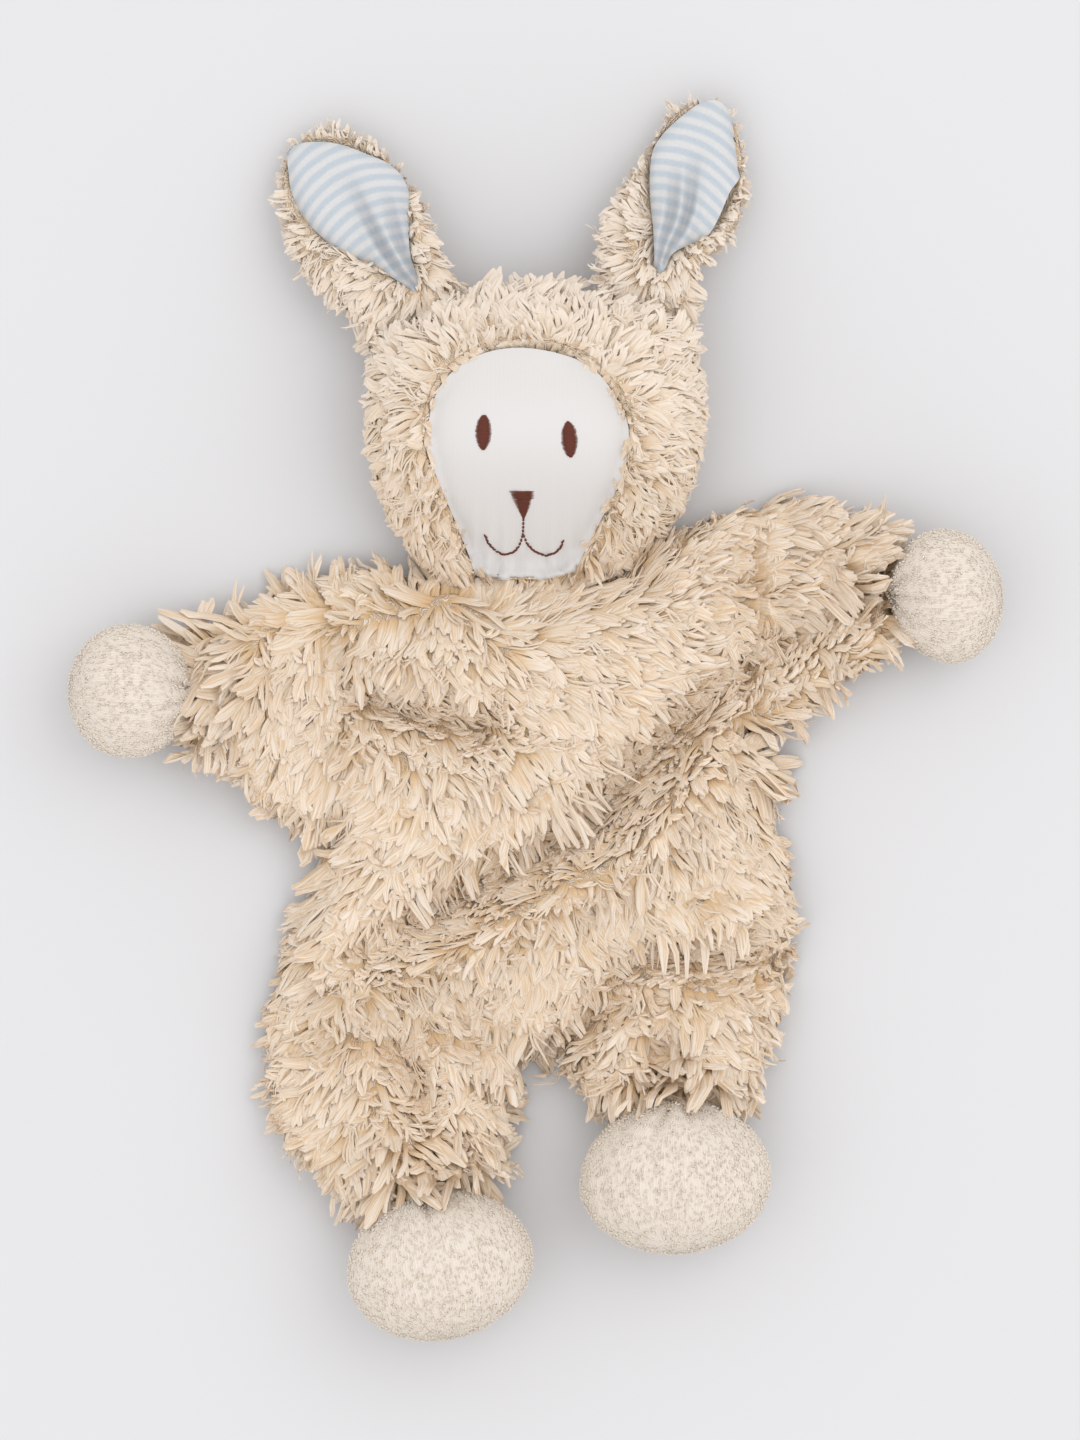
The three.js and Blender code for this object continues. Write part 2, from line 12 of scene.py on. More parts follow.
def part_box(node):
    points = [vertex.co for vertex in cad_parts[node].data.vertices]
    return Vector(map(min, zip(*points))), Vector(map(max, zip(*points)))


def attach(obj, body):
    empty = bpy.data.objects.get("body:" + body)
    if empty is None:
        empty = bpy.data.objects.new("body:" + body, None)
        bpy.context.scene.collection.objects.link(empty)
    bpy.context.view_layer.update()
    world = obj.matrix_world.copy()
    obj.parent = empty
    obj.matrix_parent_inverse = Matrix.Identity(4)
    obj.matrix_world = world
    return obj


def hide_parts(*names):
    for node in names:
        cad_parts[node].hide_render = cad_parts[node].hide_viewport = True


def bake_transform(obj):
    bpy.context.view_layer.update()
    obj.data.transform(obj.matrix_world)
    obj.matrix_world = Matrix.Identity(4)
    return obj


bl_info = {
    "name": "Plush Bunny",
    "version": (1, 0, 0),
    "blender": (4, 5, 0),
    "location": "View3D > Sidebar > Bunny",
    "description": "Makes the cloth, pile, face and ears of a flat plush bunny around its fixed frame",
    "category": "Object",
}

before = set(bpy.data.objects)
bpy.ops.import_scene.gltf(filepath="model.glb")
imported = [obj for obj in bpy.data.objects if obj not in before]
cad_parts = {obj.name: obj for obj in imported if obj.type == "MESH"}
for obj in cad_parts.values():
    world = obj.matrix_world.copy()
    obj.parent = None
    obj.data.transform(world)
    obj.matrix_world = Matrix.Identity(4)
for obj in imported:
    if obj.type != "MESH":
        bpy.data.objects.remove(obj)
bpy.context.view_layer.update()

MM = 0.001

# The photograph looks straight down. Its pixels give places on the bunny in its own frame.
PIXELS_PER_MM = 3.5
FRAME_CENTRE = (541.5, 717.5)
PHOTO_CENTRE = (540.0, 720.0)
PHOTO_HEIGHT = 1440.0


def spot(x, y):
    """Metres on the bunny, from the photograph's pixels."""
    return ((x - FRAME_CENTRE[0]) / PIXELS_PER_MM * MM, (FRAME_CENTRE[1] - y) / PIXELS_PER_MM * MM)


def spots(pixels):
    return [spot(*p) for p in pixels]


# Where the pile is combed to, as the photograph shows it: a place, and a direction with y downwards, in its pixels.
BODY_COMB = [
    (560, 640, 0.75, 0.65), (500, 700, 0.6, 0.8), (450, 680, 0.3, 0.95), (400, 650, 0.0, 1.0),
    (640, 640, 0.95, 0.3), (700, 640, 0.95, 0.15), (740, 550, 0.95, -0.25), (840, 560, 0.85, 0.4),
    (880, 610, 0.9, 0.4), (850, 670, 0.6, 0.8), (300, 640, -0.3, 0.95), (240, 640, -0.5, 0.6),
    (240, 720, -0.1, 1.0), (190, 700, -0.3, 0.95), (300, 780, -0.4, 0.9), (350, 860, -0.5, 0.85),
    (300, 940, -0.8, 0.6), (285, 1050, -0.8, 0.6), (300, 1130, -0.7, 0.75), (400, 1000, 0.1, 1.0),
    (450, 1040, 0.5, 0.85), (420, 900, -0.2, 0.95), (560, 920, 0.3, 0.95), (620, 850, 0.45, 0.9),
    (700, 800, 0.5, 0.85), (600, 740, 0.55, 0.8), (760, 880, 0.7, 0.7), (780, 950, 0.9, 0.45), (780, 790, 0.8, 0.5),
    (700, 1000, 0.2, 0.95), (600, 1070, -0.4, 0.9), (740, 1080, 0.6, 0.8), (450, 1130, 0.5, 0.85),
    (360, 1190, -0.2, 1.0), (490, 1150, 0.8, 0.6), (540, 1060, 0.2, 1.0), (450, 612, -0.2, 0.9),
    (620, 600, 0.6, 0.5), (370, 572, -0.6, -0.5), (410, 580, 0.1, -1.0), (460, 585, 0.3, -0.9),
    (520, 583, 0.7, -0.6), (580, 583, 0.9, -0.4), (640, 572, 0.7, -0.7), (530, 1015, 0.0, 1.0),
    (560, 1040, 0.1, 1.0), (505, 590, -0.2, -1.0), (545, 596, 0.0, -1.0), (585, 590, 0.2, -1.0),
    (200, 665, -1.0, -0.2), (195, 700, -1.0, 0.1), (205, 740, -0.9, 0.4), (380, 1165, -0.1, 1.0),
    (415, 1170, 0.2, 1.0), (455, 1160, 0.4, 0.9), (640, 1075, -0.3, 0.95), (675, 1075, 0.05, 1.0),
    (715, 1075, 0.4, 0.9), (865, 570, 1.0, -0.3), (865, 600, 1.0, 0.0), (865, 630, 0.9, 0.4), (590, 1080, 0.0, 1.0),
    (250, 610, -0.3, -0.9), (205, 630, -0.5, -0.8), (315, 585, -0.3, -0.9),
]

# Places where the pile hangs over the edge of the cloth: between the legs, on the shoulder, at the side, on the head.
FRINGE = [
    (500, 592), (530, 594), (560, 594), (585, 590), (535, 1075), (560, 1085), (590, 1105), (515, 1110), (515, 1080),
    (640, 1085), (680, 1080), (715, 1075), (400, 1185), (440, 1180), (475, 1165), (444, 306), (388, 338),
    (638, 309), (680, 326), (625, 570), (447, 580), (200, 640), (240, 622), (280, 605), (320, 590), (320, 850),
    (305, 890), (490, 295), (530, 290), (570, 292), (780, 530), (850, 540), (765, 755),
]

# Valleys of the slack body, where the pile closes into short round curls.
VALLEYS = [
    [(870, 590), (800, 640), (720, 690), (640, 770), (590, 830), (500, 880), (430, 920), (370, 960)],
    [(370, 700), (480, 730)],
    [(790, 960), (640, 960), (560, 1040), (520, 1090)],
    [(400, 1060), (440, 1150)],
    [(660, 1060), (690, 1130)],
]

# The hood is brushed outwards from the face, and down over the neck.
HOOD_COMB = [
    (520, 330, 0.0, -1.0), (460, 345, -0.5, -0.85), (590, 340, 0.5, -0.85), (420, 390, -0.9, -0.3),
    (640, 380, 0.9, -0.3), (400, 440, -0.8, 0.6), (660, 440, 0.9, 0.4), (410, 500, -0.4, 0.9),
    (650, 500, 0.5, 0.85), (430, 560, -0.1, 1.0), (620, 560, 0.3, 0.95), (370, 400, -0.9, 0.3),
    (370, 470, -0.7, 0.7), (700, 400, 0.95, 0.2), (700, 470, 0.7, 0.7), (444, 308, -0.2, -1.0),
    (386, 342, -0.6, -0.8), (638, 311, 0.1, -1.0), (682, 330, 0.5, -0.9), (540, 300, 0.3, -0.8),
    (525, 595, 0.0, 1.0),
]
EAR_COMB = [
    (300, 130, -0.2, -1.0), (380, 140, 0.3, -0.95), (430, 200, 0.9, -0.2), (450, 260, 0.8, 0.5),
    (280, 180, -1.0, 0.1), (300, 240, -0.8, 0.6), (340, 290, -0.7, 0.75), (390, 320, -0.5, 0.85),
    (620, 200, -0.9, -0.3), (660, 140, -0.8, -0.6), (700, 95, 0.0, -1.0), (745, 120, 0.9, -0.4),
    (750, 180, 1.0, 0.1), (720, 250, 0.8, 0.6), (690, 300, 0.5, 0.8), (610, 270, -0.8, 0.3),
]

# Seam of the face panel, and the stitched features on it, in the photograph's pixels. Each eye is its middle, its
# width, its length and its lean in degrees.
FACE_SEAM = [
    (523, 354.5), (483, 360.5), (453, 379.5), (437, 404.5), (431, 436.5), (432, 456.5), (442, 484.5), (455, 515.5),
    (468, 547.5), (480, 576), (498, 587), (527, 589), (555, 586), (570, 576), (584, 547.5), (599, 519.5),
    (617, 484.5), (625, 449.5), (624, 426.5), (614, 404.5), (596, 379.5), (569, 363.5),
]
EYES = [((484, 435.5), 15.5, 34.5, 1.0), ((569, 442.5), 15.5, 35.0, -5.0)]
NOSE = [(510, 491.5), (537, 493.5), (523.5, 520.5)]
MOUTH = [
    [(523.5, 518.5), (523, 536.5)],
    [(523, 534.5), (520, 544.5), (514, 551.5), (504, 554.5), (494, 549.5), (488, 542.5), (485, 534.5)],
    [(523, 534.5), (527, 543.5), (534, 550.5), (545, 555.5), (555, 552.5), (561, 546.5), (563, 539.5)],
]

# Each ear: its root in mm, the direction of its length and how far its outer side spreads (negative on the left),
# then the lining's edge and its pleats in the photograph's pixels.
EARS = {
    "ear_left": ((-37.65, 117.4), (-0.4706, 0.8824), -1.22,
                 [(445, 324), (426, 293), (411, 257), (409, 224), (410, 197), (402, 176), (387, 162), (367, 153),
                  (340, 143), (316, 140), (296, 143), (287, 154), (288, 173), (292, 195), (305, 219), (324, 239),
                  (340, 251), (354, 260), (374, 267), (394, 279), (413, 293)],
                 [[(430, 302), (401, 274), (381, 244), (367, 217), (359, 200), (351, 184), (346, 170)],
                  [(430, 302), (412, 270), (401, 247), (394, 221), (390, 204), (385, 184)]]),
    "ear_right": ((29.4, 120.8), (0.2806, 0.9598), 1.38,
                  [(655, 277), (664, 272), (671, 256), (682, 248), (697, 243), (710, 233), (720, 215), (730, 192),
                   (741, 174), (742, 147), (736, 121), (722, 101), (704, 100), (684, 113), (663, 133), (653, 150),
                   (650, 171), (650, 197), (653, 227), (654, 250)],
                  [[(664, 264), (671, 247), (681, 229), (688, 211), (691, 192), (694, 164), (695, 147)],
                   [(655, 275), (661, 246), (670, 223), (673, 206), (674, 185), (675, 159)]]),
}

# Each ball, in millimetres: the point where its neck leaves the limb, the direction outwards and its width and
# height. Then how far the stuffing stretches it along and across, as factors, and pushes it aside.
BALLS = {
    "hand_left": ((-94.0, 6.75), (-0.9996, 0.0298), (41, 34), (1.06, 1.0, 0.0)),
    "hand_right": ((94.0, 34.75), (0.998, 0.0639), (41, 34), (0.97, 1.0, -2.0)),
    "foot_left": ((-36.0, -130.0), (0.2337, -0.9723), (55, 38), (1.04, 1.03, 0.8)),
    "foot_right": ((38.0, -103.25), (0.052, -0.9986), (55, 38), (1.07, 1.06, -1.4)),
}

# Each limb, in millimetres: a point on its fold line, the direction outwards and half the fold line's length.
LIMBS = {
    "arm_left": ((-65.6, 2.0), (-0.9995, -0.0314), 38.0),
    "arm_right": ((66.0, 28.75), (1.0, 0.0), 36.0),
    "leg_left": ((-42.25, -97.75), (0.0869, -0.9962), 40.0),
    "leg_right": ((37.25, -87.25), (0.1656, -0.9862), 37.0),
}

# Where the thread draws up each hand and foot, and where the head is sewn to the body.
NECKS = [np.array(neck) * MM for neck, *_ in BALLS.values()]
NECK_SEAM = [(-46 * MM, 41 * MM), (26 * MM, 41 * MM)]
# Between the legs the slack cloth sags out over the legs' seam.
CROTCH = (540, 1040)

# Distances before and after a limb's fold line in millimetres, and a height. A limb's cloth starts at the first
# distance before its fold line.
FOLD_BEFORE, FOLD_AFTER, FOLD_HEIGHT = 6, 8, 6 * MM

# Width of one wale of the terry, in millimetres.
WALE = 0.9

# Stuffing: its pressure, for how many steps it swells the cloth and how far at most, and how much stays pinned at the
# neck. Then the folds at the neck: their height, and where and over what distance they die out.
PRESSURE, SWELL_STEPS, MOST_SWELL, PINNED = 2.5, 20, 3 * MM, 9 * MM
GATHER_HEIGHT, GATHER_START, GATHER_REACH = 1.6 * MM, 6 * MM, 8 * MM
# The stretch of a ball grows from its neck over this distance.
BALL_REACH = 30 * MM

# How far round these places the pile feels them, how far one stroke of the comb reaches and how wide a tuft is.
FRINGE_REACH, NECK_REACH = 9 * MM, 13 * MM
COMB_REACH, TUFT = 9 * MM, 11 * MM

# Rays that look for a surface start this high and go straight down.
HIGH = 0.2
DOWN = Vector((0, 0, -1))

# The floor lies this far under the frame's zero, and the pile ends this far over it. What hangs lower than the second
# height is pressed together by the bunny's weight.
FLOOR_GAP, PRESSED = 0.2 * MM, 2.5 * MM

# How deep the cloth of the body lies under its pile in millimetres, and how much deeper at its sides. Towards a
# gathered seam it comes up over this distance.
CLOTH_DEPTH, SIDE_DEPTH = 1.6, 2.6
GATHERED_REACH = 16 * MM
# A valley in millimetres and over what distance, the banks beside it, and how far it closes the pile into curls.
VALLEY_DEPTH, VALLEY_WIDTH, VALLEY_REACH = 5.0, 5 * MM, 16 * MM
BANK_HEIGHT, BANK_PLACE, BANK_WIDTH = 2.6, 12 * MM, 6 * MM
SAG, SAG_WIDTH = 11 * MM, 13 * MM

# Where the normal's z is less than this, the cloth belongs to the back.
BODY_UNDERSIDE, HEAD_UNDERSIDE, EAR_UNDERSIDE = -0.3, -0.1, -0.6

# First seed of the pile on each kind of piece.
SEEDS = {"torso": 1, "limbs": 11, "head": 31, "ears": 41, "balls": 61}

# Each lock: length and width as shares of the whole, how far it turns, how steeply it leaves the cloth and falls
# back, and its thickness as a share of its width. Six are long, two are thin strays and three are short curls.
LOCKS = [
    (1.00, 1.00, 0.3, 0.16, 0.32, 0.07), (1.15, 0.90, -0.35, 0.14, 0.28, 0.07), (0.90, 1.20, 0.45, 0.16, 0.34, 0.07),
    (1.20, 0.80, -0.2, 0.12, 0.26, 0.07), (0.85, 1.10, 0.7, 0.18, 0.38, 0.07), (1.05, 0.95, -0.6, 0.16, 0.35, 0.07),
    (1.05, 0.36, 0.6, 0.12, 0.28, 0.07), (1.00, 0.40, -0.7, 0.12, 0.30, 0.07),
    (0.42, 0.75, 1.8, 0.10, 0.30, 0.24), (0.48, 0.80, -2.2, 0.12, 0.35, 0.22), (0.60, 0.80, 1.9, 0.20, 0.50, 0.14),
]
LONG_LOCKS = 8
# Rows of points along a bundle of fibres, as its share and fullness there, the points of one row, and the share of
# the length after which its bend is worked out anew.
LOCK_ROWS = ((0.0, 0.5), (0.3, 0.95), (0.58, 1.0), (0.84, 0.9), (1.0, 0.45))
LOCK_PROFILE = ((-1.0, 0.0), (0.1, 1.0), (1.0, 0.0))
LOCK_STEP = 0.02
# How far the tips lie above the cloth, on the locks before them, and how far a point moves at most to lie so.
RISE, MOST_LAID = 1.5 * MM, 3 * MM
# On the back the pile is pressed flat, so it is planted further apart, and on the hood and ears it is closer.
BACK_SPACING, HOOD_SPACING, EAR_SPACING = 1.35, 0.95, 0.85
# Roots tried for on a square metre, before those that stand too near each other are left out.
ROOTS_TRIED = 900000.0
# How far the pile lifts in a fringe and over a neck, in radians, how much longer it is there, and how much shorter on
# the sides and underneath, as shares.
FRINGE_LIFT, NECK_LIFT = 1.1, 0.85
FRINGE_LONGER, NECK_LONGER, SIDE_SHORTER, BELOW_SHORTER = 0.25, 0.3, 0.45, 0.5

# Terry loops, as length and height shares, and the points across their thread.
LOOPS = [(1.0, 1.0), (0.8, 1.25), (1.2, 0.8)]
LOOP_PROFILE = ((-0.5, -0.3), (0.5, -0.3), (0.0, 0.6))

# Ears are drawn in units of their own, 62 long, from the root. The rings of the lining close in on this middle.
EAR_LENGTH = 62
EAR_UNIT = 60 / EAR_LENGTH * MM
EAR_MIDDLE = np.array((0.0, 34.0))
# The share of an ear that is its root, how far the rest is stretched, and how much deeper it lies under the lining.
EAR_ROOT, EAR_STRETCH, UNDER_LINING = 0.4, 2.2 * MM, 0.8 * MM
LINING_POINTS, LINING_RINGS = 160, 50
# A pleat of the lining: how deep its groove is, and how wide at the root and how much wider at its end. Then the bank
# on each side of it, as its height, place and width.
PLEAT_DEPTH, PLEAT_WIDTH, PLEAT_WIDENS = 1.9, 0.8, 2.4
PLEAT_BANKS = ((1.9, 2.2, 1.7), (1.2, -2.4, 1.8))
# How far the lining's rim is turned down, and how far its tip is raised.
RIM, TIP_RISE = 3.0 * MM, 1.4 * MM

# Points round the face's seam and round the opening in the pile.
SEAM_POINTS, OPENING_POINTS = 96, 88
# Rings of the face's panel, how far its edge goes past the seam, and its least height over the head.
FACE_RINGS, FACE_OVERLAP, FACE_GAP = 36, 1.03, 0.6 * MM
# The chin's folds: their height, the reach of the chin and two wave lengths. Then the pitch of the stitches.
CHIN_HEIGHT, CHIN_REACH, CHIN_WAVES = 1.2 * MM, 8 * MM, (4.6 * MM, 2.7 * MM)
PITCH_SHARE, MOUTH_PITCH = 0.72, 1.1 * MM
# How high the stitches lie on the face, and how many pitches long a stitch of a line is.
STITCH_RISE, STITCH_OVERLAP = 0.12 * MM, 1.9

# The pile's colour where it grows paler towards the head and the ears, and the shade down in a crease of the lining.
PALER_HIGHER, CREASE = "#EEE6DC", "#8E9298"

# Large soft lights: their place and power. They face the bunny.
LIGHTS = {"key_light": ((1.0, 0.6, 1.5), 6.3), "fill_light": ((-1.1, -0.6, 1.5), 2.8)}
LIGHT_SIZE = 1.6
ROOM_COLOUR, ROOM_STRENGTH = "#F6F5F6", 1.13
FLOOR_SIDE = 3.0
# The height at which the photograph's scale holds.
PLANE = 16 * MM


def linear(hex_colour, alpha=1.0):
    """An sRGB hex colour as the linear values that Blender's sockets take."""
    parts = [int(hex_colour[i:i + 2], 16) / 255 for i in (1, 3, 5)]
    return tuple(c / 12.92 if c <= 0.04045 else ((c + 0.055) / 1.055) ** 2.4 for c in parts) + (alpha,)


def add(tree, kind, inputs=None, **settings):
    """Adds a node with its settings. An input is a value, or the output that feeds it."""
    node = tree.nodes.new(kind)
    for name, value in settings.items():
        setattr(node, name, value)
    for name, value in (inputs or {}).items():
        if isinstance(value, bpy.types.NodeSocket):
            tree.links.new(value, node.inputs[name])
        else:
            node.inputs[name].default_value = value
    return node


def attribute(tree, name, kind):
    """What the cloth stores under this name, in Geometry Nodes."""
    return add(tree, "GeometryNodeInputNamedAttribute", {"Name": name}, data_type=kind).outputs[0]


def stored(tree, name, output="Vector"):
    """What the mesh stores under this name, in a material."""
    return add(tree, "ShaderNodeAttribute", attribute_name=name).outputs[output]


def position(tree):
    return add(tree, "ShaderNodeTexCoord").outputs["Object"]


def split(tree, vector):
    return add(tree, "ShaderNodeSeparateXYZ", {0: vector}).outputs[:]


def maths(tree, operation, *values):
    return add(tree, "ShaderNodeMath", dict(enumerate(values)), operation=operation).outputs[0]


def grain(tree, place, scale, detail=2.0, output="Fac", **more):
    """Noise at each place."""
    node = add(tree, "ShaderNodeTexNoise", {"Vector": place, "Scale": scale, "Detail": detail, **more})
    return node.outputs[output]


def mapped(tree, value, target=(0.0, 1.0), source=(0.0, 1.0), **settings):
    """The value, taken from the source range to the target range."""
    limits = dict(zip(("From Min", "From Max", "To Min", "To Max"), source + target))
    return add(tree, "ShaderNodeMapRange", {"Value": value, **limits}, **settings).outputs[0]


def mixed(tree, share, first, second):
    """The first colour, with this share of the second."""
    return add(tree, "ShaderNodeMix", {"Factor": share, 6: first, 7: second}, data_type="RGBA").outputs[2]


def halfway(tree, first, second):
    return add(tree, "ShaderNodeMix", {"Factor": 0.5, 2: first, 3: second}, data_type="FLOAT").outputs[0]


def shaded(tree, colour, shade):
    """The colour, made lighter or darker."""
    return add(tree, "ShaderNodeHueSaturation", {"Color": colour, "Value": shade}).outputs[0]


def new_material(name):
    """An empty material and its tree, ready for its nodes."""
    material = bpy.data.materials.new(name)
    material.use_nodes = True
    material.node_tree.nodes.clear()
    return material, material.node_tree


def surfaced(material, colour, roughness, specular, height=None, depth=0.0, strength=1.0):
    """Ends a material with its colour and dullness, and with a bump of this depth in millimetres where it has one."""
    tree = material.node_tree
    looks = {"Base Color": colour, "Roughness": roughness, "Specular IOR Level": specular}
    if height is not None:
        looks["Normal"] = add(tree, "ShaderNodeBump", {
            "Height": height, "Distance": depth * MM, "Strength": strength}).outputs[0]
    shader = add(tree, "ShaderNodeBsdfPrincipled", looks)
    add(tree, "ShaderNodeOutputMaterial", {"Surface": shader.outputs["BSDF"]})
    return material


def mesh_object(name, points, faces):
    mesh = bpy.data.meshes.new(name)
    mesh.from_pydata([tuple(p) for p in points], [], [tuple(f) for f in faces])
    mesh.update()
    made = bpy.data.objects.new(name, mesh)
    bpy.context.scene.collection.objects.link(made)
    return made


def plain_mesh(made):
    """Applies what the object's modifiers make of it, and takes the modifiers off."""
    depsgraph = bpy.context.evaluated_depsgraph_get()
    depsgraph.update()
    mesh = bpy.data.meshes.new_from_object(made.evaluated_get(depsgraph), depsgraph=depsgraph)
    old = made.data
    made.modifiers.clear()
    made.data = mesh
    mesh.name = made.name
    bpy.data.meshes.remove(old)
    return made


def coordinates(mesh):
    points = np.empty(len(mesh.vertices) * 3)
    mesh.vertices.foreach_get("co", points)
    return points.reshape(-1, 3)


def normals(mesh):
    values = np.empty(len(mesh.vertices) * 3)
    mesh.vertices.foreach_get("normal", values)
    return values.reshape(-1, 3)


def set_points(mesh, points):
    mesh.vertices.foreach_set("co", np.ascontiguousarray(points, dtype=np.float32).ravel())
    mesh.update()


def set_values(mesh, name, values, kind="FLOAT"):
    """Stores one value, or one vector, for each point of the mesh."""
    attribute = mesh.attributes.get(name) or mesh.attributes.new(name, kind, "POINT")
    field = "vector" if kind == "FLOAT_VECTOR" else "value"
    attribute.data.foreach_set(field, np.ascontiguousarray(values, dtype=np.float32).ravel())


def smooth_shade(made):
    made.data.polygons.foreach_set("use_smooth", [True] * len(made.data.polygons))


def shell(name, nodes, finish, voxel, passes, inset=0.0):
    """One soft shape round these CAD nodes, in even squares, smoothed and drawn in. Voxel and inset are in mm."""
    shape = bmesh.new()
    for node in nodes:
        shape.from_mesh(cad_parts[node].data)
    bmesh.ops.remove_doubles(shape, verts=shape.verts, dist=0.01 * MM)
    mesh = bpy.data.meshes.new(name)
    shape.to_mesh(mesh)
    shape.free()
    made = bpy.data.objects.new(name, mesh)
    bpy.context.scene.collection.objects.link(made)
    remesh = made.modifiers.new("Even squares", "REMESH")
    remesh.mode = "VOXEL"
    remesh.voxel_size = voxel * MM
    smooth = made.modifiers.new("Smooth", "SMOOTH")
    smooth.factor = 0.6
    smooth.iterations = passes
    plain_mesh(made)
    if inset:
        set_points(made.data, coordinates(made.data) - normals(made.data) * inset * MM)
    smooth_shade(made)
    made.data.materials.clear()
    made.data.materials.append(finish)
    return made


def distance_to_lines(points, lines):
    """Distance in the plane from each point to the nearest of these lines."""
    nearest = np.full(len(points), 1.0)
    for line in lines:
        for (ax, ay), (bx, by) in zip(line, line[1:]):
            along = np.array([bx - ax, by - ay])
            offset = points[:, :2] - (ax, ay)
            share = np.clip(offset @ along / max(along @ along, 1e-12), 0, 1)
            nearest = np.minimum(nearest, np.linalg.norm(offset - share[:, None] * along, axis=1))
    return nearest


def distance_to_places(points, places):
    """Distance in the plane from each point to the nearest of these places."""
    return distance_to_lines(points, [[place, place] for place in places])


def closed_curve(points, count):
    """A smooth closed line through these points, as count points in the plane."""
    given = np.array(points, float)
    made = []
    for i in range(count):
        place = i / count * len(given)
        k, t = int(place), place % 1
        a, b, c, d = (given[(k + n) % len(given)] for n in (-1, 0, 1, 2))
        made.append(0.5 * (2 * b + (c - a) * t + (2 * a - 5 * b + 4 * c - d) * t ** 2
                           + (3 * b - a - 3 * c + d) * t ** 3))
    return np.array(made)


def inside(points, outline):
    """Which points lie inside the closed line, in the plane."""
    found = np.zeros(len(points), bool)
    for (ax, ay), (bx, by) in zip(outline, np.roll(outline, -1, axis=0)):
        crosses = (ay > points[:, 1]) != (by > points[:, 1])
        reach = (bx - ax) * (points[:, 1] - ay) / (by - ay + 1e-12) + ax
        found ^= crosses & (points[:, 0] < reach)
    return found


def surface_of(made):
    return BVHTree.FromObject(made, bpy.context.evaluated_depsgraph_get())


def height_on(surface, x, y, otherwise):
    """Height of the surface straight below a high point, or the value given where there is none."""
    hit, _, _, _ = surface.ray_cast(Vector((x, y, HIGH)), DOWN)
    return hit.z if hit else otherwise


def smooth_heights(places, heights, known):
    """Heights of one smooth swell at every point, that keeps close to the known points."""
    u, v = places.T
    terms = np.stack([u ** i * v ** j for i in range(5) for j in range(6 - i)], axis=1)
    return terms @ np.linalg.lstsq(terms[known], heights[known], rcond=None)[0]


def leaf_grid(outline, middle, rings):
    """Points and faces of a flat leaf: rings that shrink from its outline to its middle."""
    points = [tuple(middle)]
    count = len(outline)
    for r in range(1, rings + 1):
        points += [tuple(middle + (p - middle) * r / rings) for p in outline]
    faces = [(0, 1 + i, 1 + (i + 1) % count) for i in range(count)]
    for r in range(rings - 1):
        low, high = 1 + r * count, 1 + (r + 1) * count
        faces += [(low + i, high + i, high + (i + 1) % count, low + (i + 1) % count) for i in range(count)]
    return np.array(points), faces


def combed(points, strokes):
    """The direction of the pile in the plane at each point, from the nearest strokes."""
    places = np.array([spot(x, y) for x, y, _, _ in strokes])
    ways = np.array([(dx, -dy) for _, _, dx, dy in strokes], float)
    ways /= np.linalg.norm(ways, axis=1)[:, None]
    offset = points[:, None, :2] - places[None]
    weight = 1 / ((offset ** 2).sum(axis=2) + COMB_REACH ** 2) ** 2
    way = weight @ ways
    # Each tuft leans its own way.
    turn = 0.5 * np.array([noise.noise(Vector(p) / TUFT) for p in points])
    way = np.stack([way[:, 0] * np.cos(turn) - way[:, 1] * np.sin(turn),
                    way[:, 0] * np.sin(turn) + way[:, 1] * np.cos(turn)], axis=1)
    return way / np.linalg.norm(way, axis=1)[:, None]


def near_fringe(points):
    """How near each point is to a place where the pile hangs over the edge of the cloth, from 0 to 1."""
    return np.exp(-(distance_to_places(points, spots(FRINGE)) / FRINGE_REACH) ** 2)


def near_neck(points):
    """How near each point is to the neck of a hand or foot, where the pile hangs over the ball, from 0 to 1."""
    return np.exp(-(distance_to_places(points, NECKS) / NECK_REACH) ** 2)


def lay_pile(mesh, way, lift, length, curl):
    """Stores on the cloth which way its pile is combed and lifted, how long it is and how much of it curls."""
    normal = normals(mesh)
    # On the sides the pile hangs, because the combed direction points out of the cloth there.
    side = 1 - np.abs(normal[:, 2])
    outward = np.clip((side - 0.3) / 0.5, 0, 1)[:, None]
    outline = normal[:, :2] / (np.linalg.norm(normal[:, :2], axis=1)[:, None] + 1e-9)
    down = np.column_stack([way * (1 - outward) + outline * outward, -side ** 2])
    flat = down - (down * normal).sum(axis=1)[:, None] * normal
    flat /= np.linalg.norm(flat, axis=1)[:, None] + 1e-9
    fringe = near_fringe(coordinates(mesh))
    over = near_neck(coordinates(mesh))
    lift = lift + FRINGE_LIFT * fringe * side + NECK_LIFT * over * (normal[:, 2] > 0)
    fur = flat * np.cos(lift)[:, None] + normal * np.sin(lift)[:, None]
    set_values(mesh, "comb", fur, "FLOAT_VECTOR")
    below = np.clip(-normal[:, 2] + 0.2, 0, 1)
    shorter = (1 - SIDE_SHORTER * side * (1 - fringe)) * (1 - BELOW_SHORTER * below)
    set_values(mesh, "pile_length", length * shorter * (1 + FRINGE_LONGER * fringe + NECK_LONGER * over))
    set_values(mesh, "curl", curl * np.ones(len(normal)))


def tube_faces(start, rows, count):
    """Faces of a closed tube, whose rows have this count of points each: its two ends, and then its sides."""
    last = start + (rows - 1) * count
    ends = [tuple(range(start + count - 1, start - 1, -1)), tuple(range(last, last + count))]
    return ends + [(low + k, low + (k + 1) % count, low + count + (k + 1) % count, low + count + k)
                   for low in range(start, last, count) for k in range(count)]


def template(name, points, faces):
    """A small closed shape for Geometry Nodes to repeat. It stays out of the scene."""
    made = mesh_object(name, points, faces)
    bpy.context.scene.collection.objects.unlink(made)
    shape = bmesh.new()
    shape.from_mesh(made.data)
    bmesh.ops.recalc_face_normals(shape, faces=shape.faces)
    shape.to_mesh(made.data)
    shape.free()
    return made


